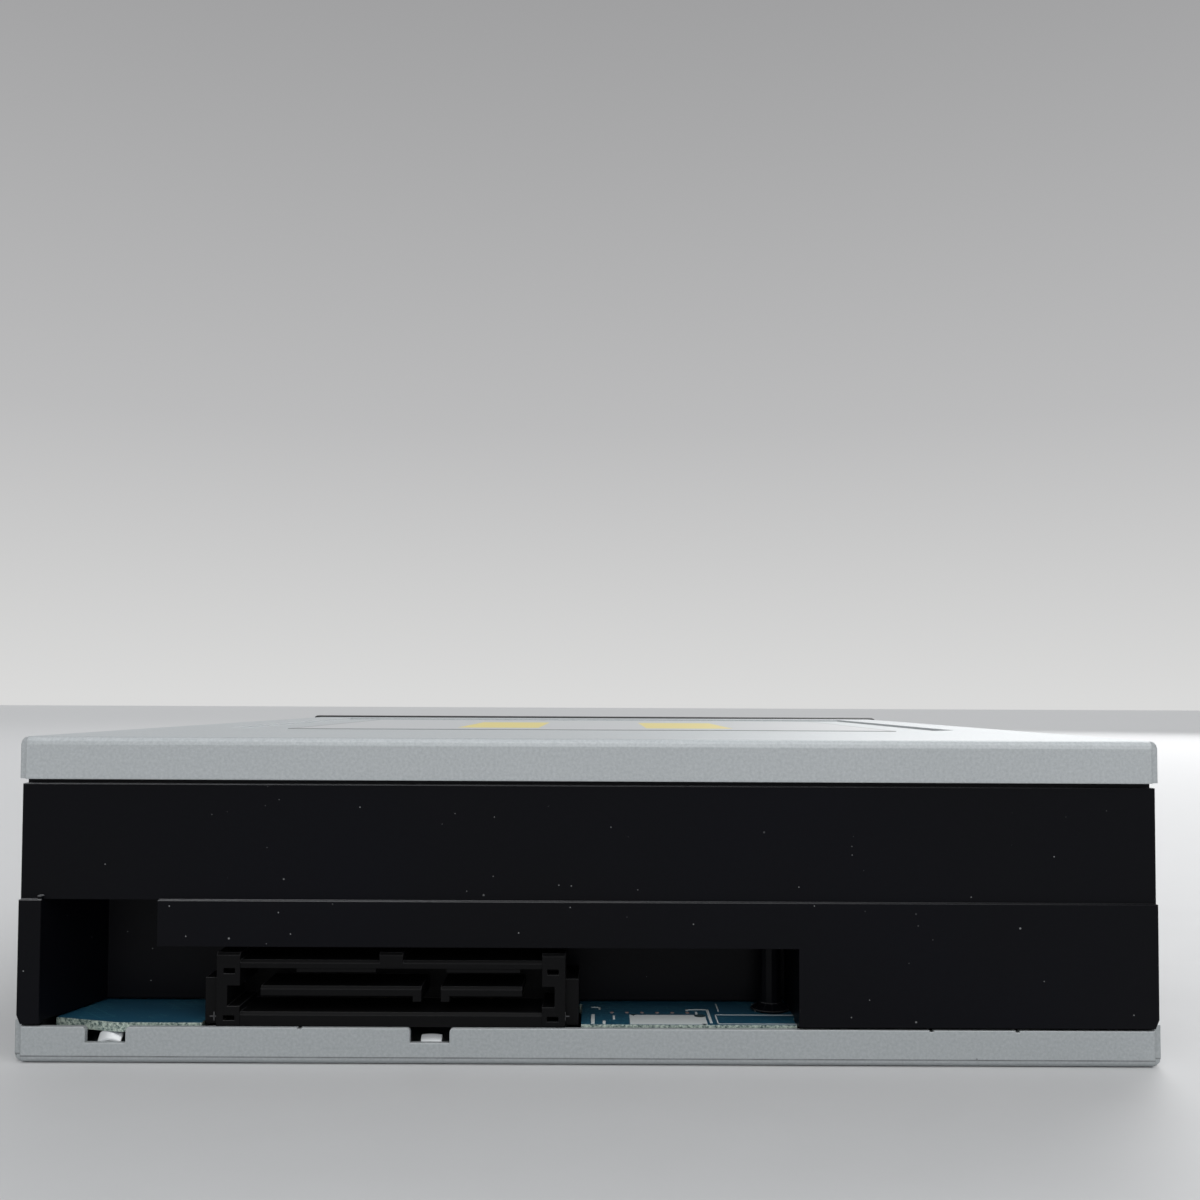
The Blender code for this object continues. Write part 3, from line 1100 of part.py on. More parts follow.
def make_traverse_plate():
    plate = box("traverse_plate", (-PLATE_HALF, PLATE_Y0, PLATE_LOW), (PLATE_HALF, PLATE_Y1, PLATE_TOP))
    cut(plate, box("pickup_window", (-ROD_X - 3.5, WELL_Y0, PLATE_LOW - OVER),
                   (ROD_X + 3.5, WELL_Y1, PLATE_TOP + OVER)),
        box("screw_window", (ROD_X + 2.0, WELL_Y0, PLATE_LOW - OVER),
            (SCREW_X + 3.5, NUT_TAB_Y, PLATE_TOP + OVER)),
        box("motor_room", (SCREW_X - SLED_MOTOR_R - 0.5, MOTOR_TAB_Y - SLED_MOTOR_LEN - 0.6,
                           PLATE_LOW - OVER),
            (PLATE_HALF + OVER, MOTOR_TAB_Y, PLATE_TOP + OVER)),
        cylinder("spindle_hole", 4.0, PLATE_LOW - OVER, PLATE_TOP + OVER, (0.0, SPINDLE_Y), sides=16))
    for sx in (-1, 1):
        for y in DAMPER_Y:
            cut(plate, cylinder("damper_hole", 3.1, PLATE_LOW - OVER, PLATE_TOP + OVER, (sx * DAMPER_X, y),
                                sides=16))
    join(plate, box("motor_tab", (SCREW_X - SLED_MOTOR_R, MOTOR_TAB_Y, PLATE_LOW),
                    (PLATE_HALF, MOTOR_TAB_Y + 1.2, SLED_TOP + 0.6)),
         box("nut_tab", (SCREW_X - 4.0, NUT_TAB_Y, PLATE_LOW),
             (SCREW_X + 4.0, NUT_TAB_Y + 1.2, LEAD_Z + 3.4)))
    cut(plate, cylinder("shaft_hole", 1.3, MOTOR_TAB_Y - OVER, MOTOR_TAB_Y + 2.2, (SCREW_X, LEAD_Z), "Y",
                        12),
        cylinder("pivot_hole", 0.9, NUT_TAB_Y - OVER, NUT_TAB_Y + 2.2, (SCREW_X, LEAD_Z), "Y", 12))
    return paint(plate, STEEL)


def make_spindle():
    base, rim = PLATE_TOP + CLEAR, SEAT_Z - 2.3
    ring = TABLE_R - 0.7
    profile = [(1.8, rim - 1.6), (11.4, rim - 1.6), (11.4, base + 1.2), (ring, base + 1.2), (ring, base),
               (1.8, base)]
    stator = turned("spindle_motor", profile, (0.0, SPINDLE_Y), steps=24, closed=True)
    paint(stator, CAST)
    wall, lip = TABLE_R - 0.6, SEAT_Z - 0.6
    profile = [(0.0, HUB_TOP), (4.6, HUB_TOP), (HUB_R - 0.2, HUB_TOP - 1.3), (HUB_R, lip),
               (TABLE_R - 4.0, lip),
               (TABLE_R - 4.0, SEAT_Z), (TABLE_R, SEAT_Z), (TABLE_R, SEAT_Z - 1.6), (wall, rim),
               (wall, base + 1.7), (12.2, base + 1.7), (12.2, rim - 1.0), (1.4, rim - 1.0),
               (1.4, base + 0.4),
               (0.0, base + 0.4)]
    table = turned("turntable", profile, (0.0, SPINDLE_Y), steps=24)
    paint(table, STEEL)
    return [stator, table]


def make_rods():
    rods = []
    for name, x in (("guide_rod_left", ROD_X), ("guide_rod_right", -ROD_X)):
        rods.append(paint(cylinder(name, ROD_R, WELL_Y0 - 3.4, PLATE_Y1 - 0.2, (x, ROD_Z), "Y", 16), STEEL))
    return rods


def make_sled_drive():
    motor = cylinder("sled_motor", SLED_MOTOR_R, MOTOR_TAB_Y - CLEAR - SLED_MOTOR_LEN, MOTOR_TAB_Y - CLEAR,
                     (SCREW_X, LEAD_Z), "Y", 24)
    paint(motor, STEEL)
    screw = cylinder("lead_screw", ROD_R, WELL_Y0 + CLEAR, NUT_TAB_Y - CLEAR, (SCREW_X, LEAD_Z), "Y", 16)
    join(screw, cylinder("shaft", 0.8, MOTOR_TAB_Y, WELL_Y0 + 1.0, (SCREW_X, LEAD_Z), "Y", 12),
         cylinder("pivot", 0.6, NUT_TAB_Y - 1.0, NUT_TAB_Y + 1.0, (SCREW_X, LEAD_Z), "Y", 12))
    paint(screw, STEEL)
    return [motor, screw]


def make_pickup():
    y0, y1 = SLED_Y0, SLED_Y0 + SLED_LEN
    sled = box("pickup_sled", (-SLED_HALF, y0, SLED_LOW), (SLED_HALF, y1, SLED_TOP))
    soften(sled, 0.8, 2)
    cut(sled, box("lens_well", (-LENS_WELL, LENS_Y - 6.0, SLED_TOP - 3.8 - 2 * LENS_TRAVEL),
                  (LENS_WELL, LENS_Y + 6.0, SLED_TOP + OVER)),
        box("rear_pocket", (-SLED_HALF + 5.0, LENS_Y + 9.0, SLED_TOP - 2.0),
            (SLED_HALF - 6.0, y1 - 2.0, SLED_TOP + OVER)),
        cylinder("table_relief", TABLE_R + 1.2, SLED_LOW - OVER, SLED_TOP + OVER, (0.0, SPINDLE_Y + 0.6),
                 sides=48))
    for x in (-LENS_POST_X, LENS_POST_X):
        join(sled, cylinder("lens_post", LENS_POST_R, SLED_TOP - 5.0, SLED_TOP + 1.4, (x, LENS_Y),
                            sides=16))
    low, top = ROD_Z - 2.4, ROD_Z + 2.4
    for y in (y0 + 1.8, y1 - 7.2):
        join(sled, box("bearing", (-SLED_HALF - 7.6, y, low),
                       (1.0 - SLED_HALF, y + 5.0, top)))
    join(sled, box("fork", (SLED_HALF - 1.0, y0 + 8.0, low), (ROD_X + 2.6, y0 + 14.0, top)))
    cut(sled, cylinder("rod_bore", ROD_R + CLEAR, y0 - OVER, y1 + OVER, (-ROD_X, ROD_Z), "Y", 16),
        box("fork_slot", (ROD_X - 3.0, y0 + 7.0, ROD_Z - ROD_R - CLEAR),
            (ROD_X + 4.0, y0 + 15.0, ROD_Z + ROD_R + CLEAR)))
    paint(sled, CAST)
    nut = box("sled_nut", (SLED_HALF - 4.0, y0 + 9.0, SLED_TOP + CLEAR),
              (SCREW_X + 2.3, y0 + 15.0, SLED_TOP + CLEAR + 1.0))
    join(nut, box("jaw", (SCREW_X - 2.5, y0 + 9.0, LEAD_Z - 1.4),
                  (SCREW_X + 2.3, y0 + 15.0, SLED_TOP + CLEAR + 0.5)))
    cut(nut, cylinder("nut_bore", ROD_R + CLEAR, y0 + 8.0, y0 + 16.0, (SCREW_X, LEAD_Z), "Y", 16))
    paint(nut, GEAR_WHITE)
    shield = box("pickup_cover", (1.0 - SLED_HALF, y0 + 0.8, SLED_LOW - 1.1),
                 (SLED_HALF - 1.0, y1 - 0.8, SLED_LOW - CLEAR))
    paint(shield, GALVANISED)
    return [sled, nut, shield]


def make_lens_holder():
    holder = box("lens_holder", (1.6 - LENS_WELL, LENS_Y - 4.4, SLED_TOP - 3.6),
                 (LENS_WELL - 1.6, LENS_Y + 4.4, HOLDER_TOP))
    soften(holder, 0.5, 2)
    paint(holder, BLACK)
    for x in (-LENS_POST_X, LENS_POST_X):
        cut(holder, cylinder("post_bore", LENS_POST_R + RUNNING, SLED_TOP - 4.0, HOLDER_TOP + OVER,
                             (x, LENS_Y), sides=16))
    made = [holder]
    for name, x, radius in (("blue_laser_lens", -3.6, 1.9), ("red_laser_lens", 3.4, 2.4)):
        cut(holder, cylinder("lens_seat", radius + CLEAR, HOLDER_TOP - 1.0, HOLDER_TOP + OVER, (x, LENS_Y),
                             sides=16))
        foot = HOLDER_TOP - 0.7
        dome = [(radius * math.sin(a), foot + 0.4 + 0.6 * math.cos(a)) for a in
                [math.radians(d) for d in (0, 30, 60, 90)]]
        made.append(paint(turned(name, dome + [(radius, foot), (0.0, foot)], (x, LENS_Y), steps=14), LENS))
    return made


# Clamping

def bracket_outline():
    wide, narrow, reach = BRACKET_HALF, BRACKET_HALF - 3.5, INNER_HALF - CLEAR
    right = [(24.0, -wide), (34.0, -narrow), (reach - 6.0, -narrow), (reach - 4.0, -wide), (reach, -wide)]
    half = right + [(x, -y) for x, y in reversed(right)]
    left = [(-x, -y) for x, y in half]
    return [(x, SPINDLE_Y + y) for x, y in half + left]


def make_clamp():
    bracket = outline("clamp_bracket", bracket_outline(), BRACKET_LOW, BRACKET_TOP)
    cut(bracket, cylinder("clamper_hole", CLAMPER_R + 0.7, BRACKET_LOW - OVER, BRACKET_TOP + OVER,
                          (0.0, SPINDLE_Y), sides=24))
    for y0, y1 in mirrored(BRACKET_HALF - 1.3, BRACKET_HALF - 0.1):
        join(bracket, box("hem", (-23.0, SPINDLE_Y + y0, BRACKET_LOW + 0.2),
                          (23.0, SPINDLE_Y + y1, BRACKET_TOP + 1.8)))
    paint(bracket, GALVANISED)
    pocket = CLAMPER_LOW + 3.6
    profile = [(0.0, pocket), (8.3, pocket), (8.3, CLAMPER_TOP), (CLAMPER_FLANGE_R, CLAMPER_TOP),
               (CLAMPER_FLANGE_R, FLANGE_LOW), (CLAMPER_R, FLANGE_LOW), (CLAMPER_R, CLAMPER_LOW),
               (9.0, CLAMPER_LOW), (9.0, HUB_TOP + 1.4), (0.0, HUB_TOP + 1.4)]
    clamper = turned("clamper", profile, (0.0, SPINDLE_Y), steps=24)
    paint(clamper, BLACK)
    magnet = cylinder("clamp_magnet", 7.9, pocket + CLEAR, pocket + 2.6, (0.0, SPINDLE_Y), sides=24)
    paint(magnet, MAGNET)
    yoke = cylinder("clamp_yoke", 7.9, pocket + 2.9, CLAMPER_TOP - 0.2, (0.0, SPINDLE_Y), sides=24)
    paint(yoke, STEEL)


# Electronics

def make_circuit_board():
    right = BOARD_RIGHT
    side = WINDOW_RIGHT + BOARD_SIDE_GAP
    edge = [(right, BOARD_FRONT), (WINDOW_LEFT - 0.7, BOARD_FRONT), (WINDOW_LEFT - 0.7, BOARD_REAR - 2.4),
            (WINDOW_LEFT - 9.5, BOARD_REAR), (side, BOARD_REAR), (side, INNER_REAR - CLEAR),
            (right, INNER_REAR - CLEAR)]
    board = outline("circuit_board", edge, BOARD_LOW, BOARD_TOP)
    cut(board, box("connector_notch",
                   (CONNECTOR_X - EAR_HALF - 0.35, CONNECTOR_BACK - CLEAR, BOARD_LOW - OVER),
                   (CONNECTOR_X + EAR_HALF + 0.35, REAR + OVER, BOARD_TOP + OVER)))
    boss = SCREW_PLACES[3]
    cut(board, cylinder("boss_room", SCREW_BOSS_R + CLEAR, BOARD_LOW - OVER, BOARD_TOP + OVER, boss))
    room = MOUNT_BOSS_HALF + CLEAR
    cut(board, box("mount_boss_room", (BOTTOM_HOLE_HALF - room, HOLE_Y[1] - room, BOARD_LOW - OVER),
                   (INNER_HALF + OVER, HOLE_Y[1] + room, BOARD_TOP + OVER)))
    paint(board, BOARD_BLUE)
    top = BOARD_LOW - CLEAR
    for name, (low, high, depth) in (("controller_chip", CONTROLLER), ("driver_chip", DRIVER),
                                     ("memory_chip", MEMORY)):
        chip = box(name, (low[0], BOARD_FRONT + low[1], top - depth), (high[0], BOARD_FRONT + high[1], top))
        soften(chip, 0.2, 1)
        paint(chip, CHIP)
    (x0, y0), (x1, y1), depth = CONTROLLER
    pad = box("thermal_pad", (x0 + PAD_INSET, BOARD_FRONT + y0 + PAD_INSET, PAN_TOP + CLEAR),
              (x1 - PAD_INSET, BOARD_FRONT + y1 - PAD_INSET, top - depth - CLEAR))
    paint(pad, PAD)
    socket = box("pickup_flex_socket", (-SOCKET_HALF, BOARD_FRONT + SOCKET_Y[0], BOARD_TOP + CLEAR),
                 (SOCKET_HALF, BOARD_FRONT + SOCKET_Y[1], BOARD_TOP + 2.3))
    soften(socket, 0.3, 1)
    paint(socket, CHARCOAL)


def ribbon(name, path, thick, x0, x1):
    """A flat ribbon that follows a path in Y and Z."""
    upper, lower = [], []
    for i, point in enumerate(path):
        before, after = path[max(i - 1, 0)], path[min(i + 1, len(path) - 1)]
        length = math.hypot(after[0] - before[0], after[1] - before[1])
        ny, nz = -(after[1] - before[1]) / length, (after[0] - before[0]) / length
        upper.append((point[0] + ny * thick / 2, point[1] + nz * thick / 2))
        lower.append((point[0] - ny * thick / 2, point[1] - nz * thick / 2))
    return outline(name, upper + lower[::-1], x0, x1, "YZ")


def make_flexes():
    low, high = PAN_TOP + CLEAR + 0.15, FRONT_BOARD_LOW - CLEAR - 0.15
    board = BOARD_LOW - CLEAR - 0.15
    start = INNER_FRONT + 9.0
    path = [(start, high), (start + 5.0, high), (start + 7.0, low), (BOARD_FRONT - 4.0, low),
            (BOARD_FRONT + 1.0, board), (BOARD_FRONT + 5.0, board)]
    x0, x1 = FRONT_BOARD_X1 - FRONT_FLEX[1], FRONT_BOARD_X1 - FRONT_FLEX[0]
    paint(ribbon("front_flex", path, 0.3, x0, x1), FLEX)
    y, z = lowered(SLED_Y0 + SLED_LEN / 2, SLED_LOW - 1.1)
    top, foot = z - 0.6, BOARD_TOP + 1.2
    bend = (top - foot) / 2
    turn = arc((y + 3.0, foot + bend), bend, -90, -270, 9)
    path = [(BOARD_FRONT + SOCKET_Y[0] - 0.3, foot), (y + 4.5, foot)] + turn + [(y + 6.0, top + 0.3)]
    paint(ribbon("pickup_flex", path, 0.25, -PICKUP_FLEX_HALF, PICKUP_FLEX_HALF), FLEX)


# Power and data connector in the rear window, all measured from its middle

def ridge(name, x0, x1, back, face, low, top):
    """A bar along X whose upper edge at the face is chamfered."""
    corner = [(face, top - EDGE_CHAMFER), (face - EDGE_CHAMFER, top)]
    return outline(name, [(back, low), (face, low), *corner, (back, top)], x0, x1, "YZ")


def edge_cut(name, x0, x1, face, top):
    """A cutter that chamfers an upper edge at the face."""
    reach = EDGE_CHAMFER + OVER
    points = [(face - reach, top + OVER), (face + OVER, top + OVER), (face + OVER, top - reach)]
    return outline(name, points, x0, x1, "YZ")


def make_connector():
    x, back = CONNECTOR_X, CONNECTOR_BACK
    face, low = REAR - 0.6, PAN_REAR_FLANGE + CLEAR - 0.3
    post_top = CONNECTOR_TOP + 0.95
    shell = box("sata_connector", (x - SHELL_HALF, back, low), (x + SHELL_HALF, face, CONNECTOR_TOP))
    inner = SHELL_HALF - POST_W
    cut(shell, box("mouth", (x - inner, back + 2.4, MOUTH_Z[0]), (x + inner, face + OVER, MOUTH_Z[1])),
        edge_cut("sill_edge", x - inner, x + inner, face, MOUTH_Z[0]),
        edge_cut("bar_edge", x - inner, x + inner, face, CONNECTOR_TOP))
    for side in (-1, 1):
        ends = sorted((x + side * (inner + 0.01), x + side * (SHELL_HALF + 0.01)))
        join(shell, ridge("post", *ends, back + 1.0, face + 0.1, low + 0.2, post_top))
        ends = sorted((x + side * (SHELL_HALF - 0.5), x + side * EAR_HALF))
        join(shell, box("ear", (ends[0], back + 1.5, low + 0.1), (ends[1], face - 0.9, EAR_TOP)))
        ends = sorted((x + side * (inner - OVER), x + side * GUIDE_HALF))
        cut(shell, box("guide_hole", (ends[0], back + 2.4, GUIDE_Z[0]), (ends[1], face + OVER, GUIDE_Z[1])))
        ends = sorted((x + side * (inner + 0.65), x + side * (SHELL_HALF - 0.85)))
        for z0, z1 in POST_SLOTS:
            cut(shell, box("post_slot", (ends[0], face - 2.0, z0), (ends[1], face + OVER, z1)))
    join(shell, ridge("middle_tab", x - 1.5, x + 1.5, back + 0.5, face + 0.05, MOUTH_Z[1] + 0.2,
                      post_top + 0.05))
    for x0, x1 in KEYS:
        join(shell, box("key", (x + x0, back + 1.0, MOUTH_Z[1] - KEY_DROP),
                        (x + x1, face - 0.2, MOUTH_Z[1] + 0.2)))
    for x0, x1, leg in TONGUES:
        join(shell, ridge("tongue", x + x0, x + x1, back + 1.0, face - 0.5, *TONGUE_Z),
             box("tongue_leg", (x + leg, back + 1.0, TONGUE_Z[0] - 0.73),
                 (x + leg + 1.1, face - 0.51, TONGUE_Z[0] + 0.5)))
    return paint(shell, CHARCOAL)


# Screws that hold the bottom cover

def make_cover_screws():
    low, tip = CLEAR, DECK_LOW - 1.2
    seat = low + SCREW_HEAD_T - 0.1
    profile = [(0.0, tip), (SCREW_R - 0.3, tip), (SCREW_R, tip - 0.6), (SCREW_R, seat),
               (SCREW_HEAD_R, seat),
               (SCREW_HEAD_R, low + 0.3), (SCREW_HEAD_R - 0.5, low), (0.0, low)]
    for number, place in enumerate(SCREW_PLACES, 1):
        paint(turned(f"cover_screw_{number}", profile, place, steps=10), STEEL)


def main():
    make_bottom_cover()
    make_top_cover()
    make_main_frame()
    make_front_bezel()
    make_eject_button()
    make_light_pipe()
    make_front_board()
    make_tray()
    make_gear_train()
    make_loading_motor()
    make_cam_slider()
    make_clamp()
    make_circuit_board()
    make_flexes()
    make_connector()
    make_cover_screws()
    level_pieces = [make_lift_frame(), make_traverse_plate(), *make_dampers(), *make_spindle(),
                    *make_rods(),
                    *make_sled_drive(), *make_pickup(), *make_lens_holder()]
    parked = joint_empty("lift_pivot", (0.0, PIVOT_Y, PIVOT_Z))
    carry(parked, *level_pieces)
    parked.rotation_euler.x = TILT


main()
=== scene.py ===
# Looks of a half-height optical disc writer, seen from its connector side.
import math

import bmesh
import bpy
from mathutils import Matrix, Vector


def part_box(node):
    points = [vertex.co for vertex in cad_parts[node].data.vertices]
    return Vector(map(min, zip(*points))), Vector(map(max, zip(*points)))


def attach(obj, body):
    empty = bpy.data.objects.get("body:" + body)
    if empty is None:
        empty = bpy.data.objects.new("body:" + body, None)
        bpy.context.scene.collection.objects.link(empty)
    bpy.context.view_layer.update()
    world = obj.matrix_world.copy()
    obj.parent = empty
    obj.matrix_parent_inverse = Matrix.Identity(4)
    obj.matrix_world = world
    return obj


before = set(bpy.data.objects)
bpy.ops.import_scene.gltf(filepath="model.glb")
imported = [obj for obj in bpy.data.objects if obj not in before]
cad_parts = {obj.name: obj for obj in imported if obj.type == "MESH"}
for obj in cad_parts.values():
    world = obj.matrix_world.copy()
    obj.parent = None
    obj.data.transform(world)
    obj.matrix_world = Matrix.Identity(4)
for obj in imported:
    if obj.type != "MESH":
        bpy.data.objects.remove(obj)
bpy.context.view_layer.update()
mm = 0.001
print("frame loaded,", len(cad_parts), "nodes")

cameraSet = {
    "place": (-1.33, 239.71, 46.42),  # mm
    "pitch": 1.985,  # degrees above level
    "roll": 0.26,
    "lens": 36.32, "sensor": 36.0,  # mm
    "shift": 0.0474,
    "clip": (0.01, 30.0),  # m
}


def makeCamera(s):
    data = bpy.data.cameras.new("camera")
    data.lens = s["lens"]
    data.sensor_width = s["sensor"]
    data.shift_y = s["shift"]
    data.clip_start, data.clip_end = s["clip"]
    camera = bpy.data.objects.new("camera", data)
    turn = Matrix.Rotation(math.pi, 4, "Z") @ Matrix.Rotation(math.radians(90 + s["pitch"]), 4, "X")
    turn = turn @ Matrix.Rotation(math.radians(s["roll"]), 4, "Z")
    camera.matrix_world = Matrix.Translation(Vector(s["place"]) * mm) @ turn
    bpy.context.scene.collection.objects.link(camera)
    bpy.context.scene.camera = camera


makeCamera(cameraSet)
print("camera placed")


class Value:  # one output socket, so that shader maths reads as plain sums
    def __init__(self, tree, out):
        self.tree = tree
        self.out = out

    def maths(self, operation, first, second=0.0):
        return self.tree.node("ShaderNodeMath", {"operation": operation}, {0: first, 1: second})

    def __add__(self, other):
        return self.maths("ADD", self, other)

    def __sub__(self, other):
        return self.maths("SUBTRACT", self, other)

    def __rsub__(self, other):
        return self.maths("SUBTRACT", other, self)

    def __mul__(self, other):
        return self.maths("MULTIPLY", self, other)

    def __gt__(self, other):
        return self.maths("GREATER_THAN", self, other)

    def __lt__(self, other):
        return self.maths("LESS_THAN", self, other)

    def atLeast(self, other):
        return self.maths("MAXIMUM", self, other)

    def atMost(self, other):
        return self.maths("MINIMUM", self, other)

    def size(self):
        return self.maths("ABSOLUTE", self)

    def fraction(self):
        return self.maths("FRACT", self)

    def inside(self, low, high):
        return (self > low) * (self < high)

    __radd__ = __add__
    __rmul__ = __mul__


class Tree:  # the nodes of a material or of the world, all made by one method
    def __init__(self, owner):
        owner.use_nodes = True
        self.nodes = owner.node_tree.nodes
        self.links = owner.node_tree.links

    def node(self, kind, settings=None, sockets=None, out=0):
        made = self.nodes.new(kind)
        for key, value in (settings or {}).items():
            if key == "stops":
                ramp = made.color_ramp.elements
                while len(ramp) < len(value):
                    ramp.new(0.5)
                for stop, (at, tone) in zip(ramp, value):
                    stop.position = at
                    stop.color = (*tone, 1.0)
            else:
                setattr(made, key, value)
        for key, value in (sockets or {}).items():
            if isinstance(value, Value):
                self.links.new(value.out, made.inputs[key])
            else:
                made.inputs[key].default_value = value
        return Value(self, made.outputs[out])

    def axis(self, name, at):
        return self.node("ShaderNodeSeparateXYZ", None, {0: at}, name)


class Finish(Tree):
    def __init__(self, name, colour, roughness, metallic=0.0, **constants):
        self.material = bpy.data.materials.new(name)
        super().__init__(self.material)
        self.shader = self.nodes["Principled BSDF"]
        self.fix("Base Color", (*colour, 1.0))
        self.fix("Roughness", roughness)
        self.fix("Metallic", metallic)
        for socket, value in constants.items():
            self.fix(socket.replace("_", " "), value)
        self.place = self.node("ShaderNodeTexCoord", out="Object")

    def fix(self, socket, value):
        self.shader.inputs[socket].default_value = value

    def feed(self, socket, value):
        self.links.new(value.out, self.shader.inputs[socket])

    def along(self, name):  # place on the piece along X, Y or Z
        return self.axis(name, self.place)

    def noise(self, scale, detail=2.0, rough=0.5, stretch=None):
        at = self.place
        if stretch:
            at = self.node("ShaderNodeMapping", None, {"Vector": at, "Scale": stretch})
        sockets = {"Vector": at, "Scale": scale, "Detail": detail, "Roughness": rough}
        return self.node("ShaderNodeTexNoise", None, sockets, "Fac")

    def mix(self, amount, first, second):
        first = first if isinstance(first, Value) else (*first, 1.0)
        second = second if isinstance(second, Value) else (*second, 1.0)
        return self.node("ShaderNodeMix", {"data_type": "RGBA"}, {0: amount, 6: first, 7: second}, 2)

    def specks(self, cell, share, reach):  # cell in mm, share of the cells used, reach in cells
        sockets = {"Vector": self.place, "Scale": 1.0 / (cell * mm)}
        near = self.node("ShaderNodeTexVoronoi", None, sockets, "Distance")
        tone = self.node("ShaderNodeTexVoronoi", None, sockets, "Color")
        return (near < reach) * (self.axis("X", tone) < share)

    def relief(self, height, depth, edge=0.0):  # depth and edge in mm
        sockets = {"Height": height, "Distance": depth * mm, "Strength": 1.0}
        if edge:
            sockets["Normal"] = self.node("ShaderNodeBevel", {"samples": 4}, {"Radius": edge * mm})
        self.feed("Normal", self.node("ShaderNodeBump", None, sockets))

    # mask for painted highlights: edges whose rounded normal points up, as if caught by light from above
    def edges(self, edge, gain=7.0):  # upward edges, where a rounded normal leaves the flat one
        soft = self.node("ShaderNodeBevel", {"samples": 6}, {"Radius": edge * mm})
        flat = self.node("ShaderNodeNewGeometry", out="True Normal")
        same = self.node("ShaderNodeVectorMath", {"operation": "DOT_PRODUCT"}, {0: soft, 1: flat}, "Value")
        return ((1.0 - same) * gain).atMost(1.0) * self.axis("Z", soft).atLeast(0.0)


print("shader tools ready")

sheetSet = {
    "tone": (0.480, 0.508, 0.520), "darkTone": (0.405, 0.432, 0.446), "paleTone": (0.560, 0.586, 0.598),
    "roughness": 0.44, "metal": 0.30,
    "grain": 2600.0, "cloud": 45.0,  # waves per m
    "contrast": 2.2, "cloudShare": 0.2, "depth": 0.010,
    "polish": 0.06, "haze": 0.08, "grainHaze": 0.08,  # what roughness loses, and gets back with the patterns
    # painted highlight: the rim tone paints upward edges paler, as if caught by light from above
    "edge": 0.25, "rim": (0.72, 0.74, 0.75), "rimShare": 0.7,
    # dark specks of dirt; the dirt colour also paints the shade line above the pan's fold
    "dirt": (0.11, 0.11, 0.115), "dirtCell": 2.6, "dirtCells": 0.14, "dirtReach": 0.05, "dirtShare": 0.6,
}
panSet = dict(
    sheetSet, tone=(0.410, 0.437, 0.448), darkTone=(0.350, 0.376, 0.388), paleTone=(0.480, 0.505, 0.516),
    # the rim tone below is a painted highlight on upward edges
    rim=(0.62, 0.64, 0.65), cloud=28.0,
    crease=0.95, creaseHalf=0.09,  # height and half width in mm of the painted shade line above the fold
    creaseGrain=260.0, creaseLeast=0.25, creaseSwing=0.7,
    foldDrop=0.35, foldShadeShare=0.35,  # the fold below it gets a little painted shade too
)
blackSet = {
    "tone": (0.0018, 0.0018, 0.0020), "blueTone": (0.0019, 0.0023, 0.0056),
    "roughness": 0.38, "polish": 0.04, "haze": 0.08, "grainHaze": 0.05, "specular": 0.11,
    "grain": 5200.0, "cloud": 24.0, "depth": 0.005,
    # painted highlight: upward edges are coloured paler, more so towards +X
    "edge": 0.22, "edgeHighlight": (0.50, 0.505, 0.52),
    "highlightShare": 0.45, "highlightRise": 6.0,  # share at the middle, and what it gains per m towards +X
    "dust": (0.26, 0.265, 0.27), "dustCell": 1.7, "dustCells": 0.38, "dustReach": 0.045, "dustHaze": 0.3,
    "thinCell": 1.9, "thinCells": 0.5, "thinReach": 0.9, "thinShare": 0.7,  # a thinner layer, in shares
    "clump": 55.0, "clumpLeast": 0.35, "clumpGain": 5.0,
}
nylonSet = dict(
    # the pale edge tone here is a painted highlight on upward edges
    blackSet, tone=(0.0030, 0.0030, 0.0034), blueTone=(0.0030, 0.0030, 0.0034), edgeHighlight=(0.150, 0.150, 0.155),
    roughness=0.44, edge=0.12, dustCells=0.1,
)


def makeSheetSteel(name, s):
    f = Finish(name, s["tone"], s["roughness"], s["metal"])
    grain = f.noise(s["grain"], detail=3.0, rough=0.65)
    cloud = f.noise(s["cloud"], detail=3.0)
    spangle = (grain - 0.5) * s["contrast"] + 0.5
    level = spangle * (1.0 - s["cloudShare"]) + cloud * s["cloudShare"]
    tone = f.mix(level, s["darkTone"], s["paleTone"])
    dirt = f.specks(s["dirtCell"], s["dirtCells"], s["dirtReach"])
    tone = f.mix(dirt * s["dirtShare"], tone, s["dirt"])
    # painted highlight on the upward edges
    tone = f.mix(f.edges(s["edge"]) * s["rimShare"], tone, s["rim"])
    # painted shade: a broken dark line above the pan's bottom fold, and a darker fold below it
    if "crease" in s:
        height = f.along("Z")
        creaseShade = (height - s["crease"] * mm).size() < s["creaseHalf"] * mm
        broken = s["creaseLeast"] + f.noise(s["creaseGrain"]) * s["creaseSwing"]
        tone = f.mix(creaseShade * broken, tone, s["dirt"])
        foldShade = height < (s["crease"] - s["foldDrop"]) * mm
        tone = f.mix(foldShade * s["foldShadeShare"], tone, s["darkTone"])
    f.feed("Base Color", tone)
    f.feed("Roughness", s["roughness"] - s["polish"] + cloud * s["haze"] + grain * s["grainHaze"])
    f.relief(grain, s["depth"], s["edge"])
    return f.material


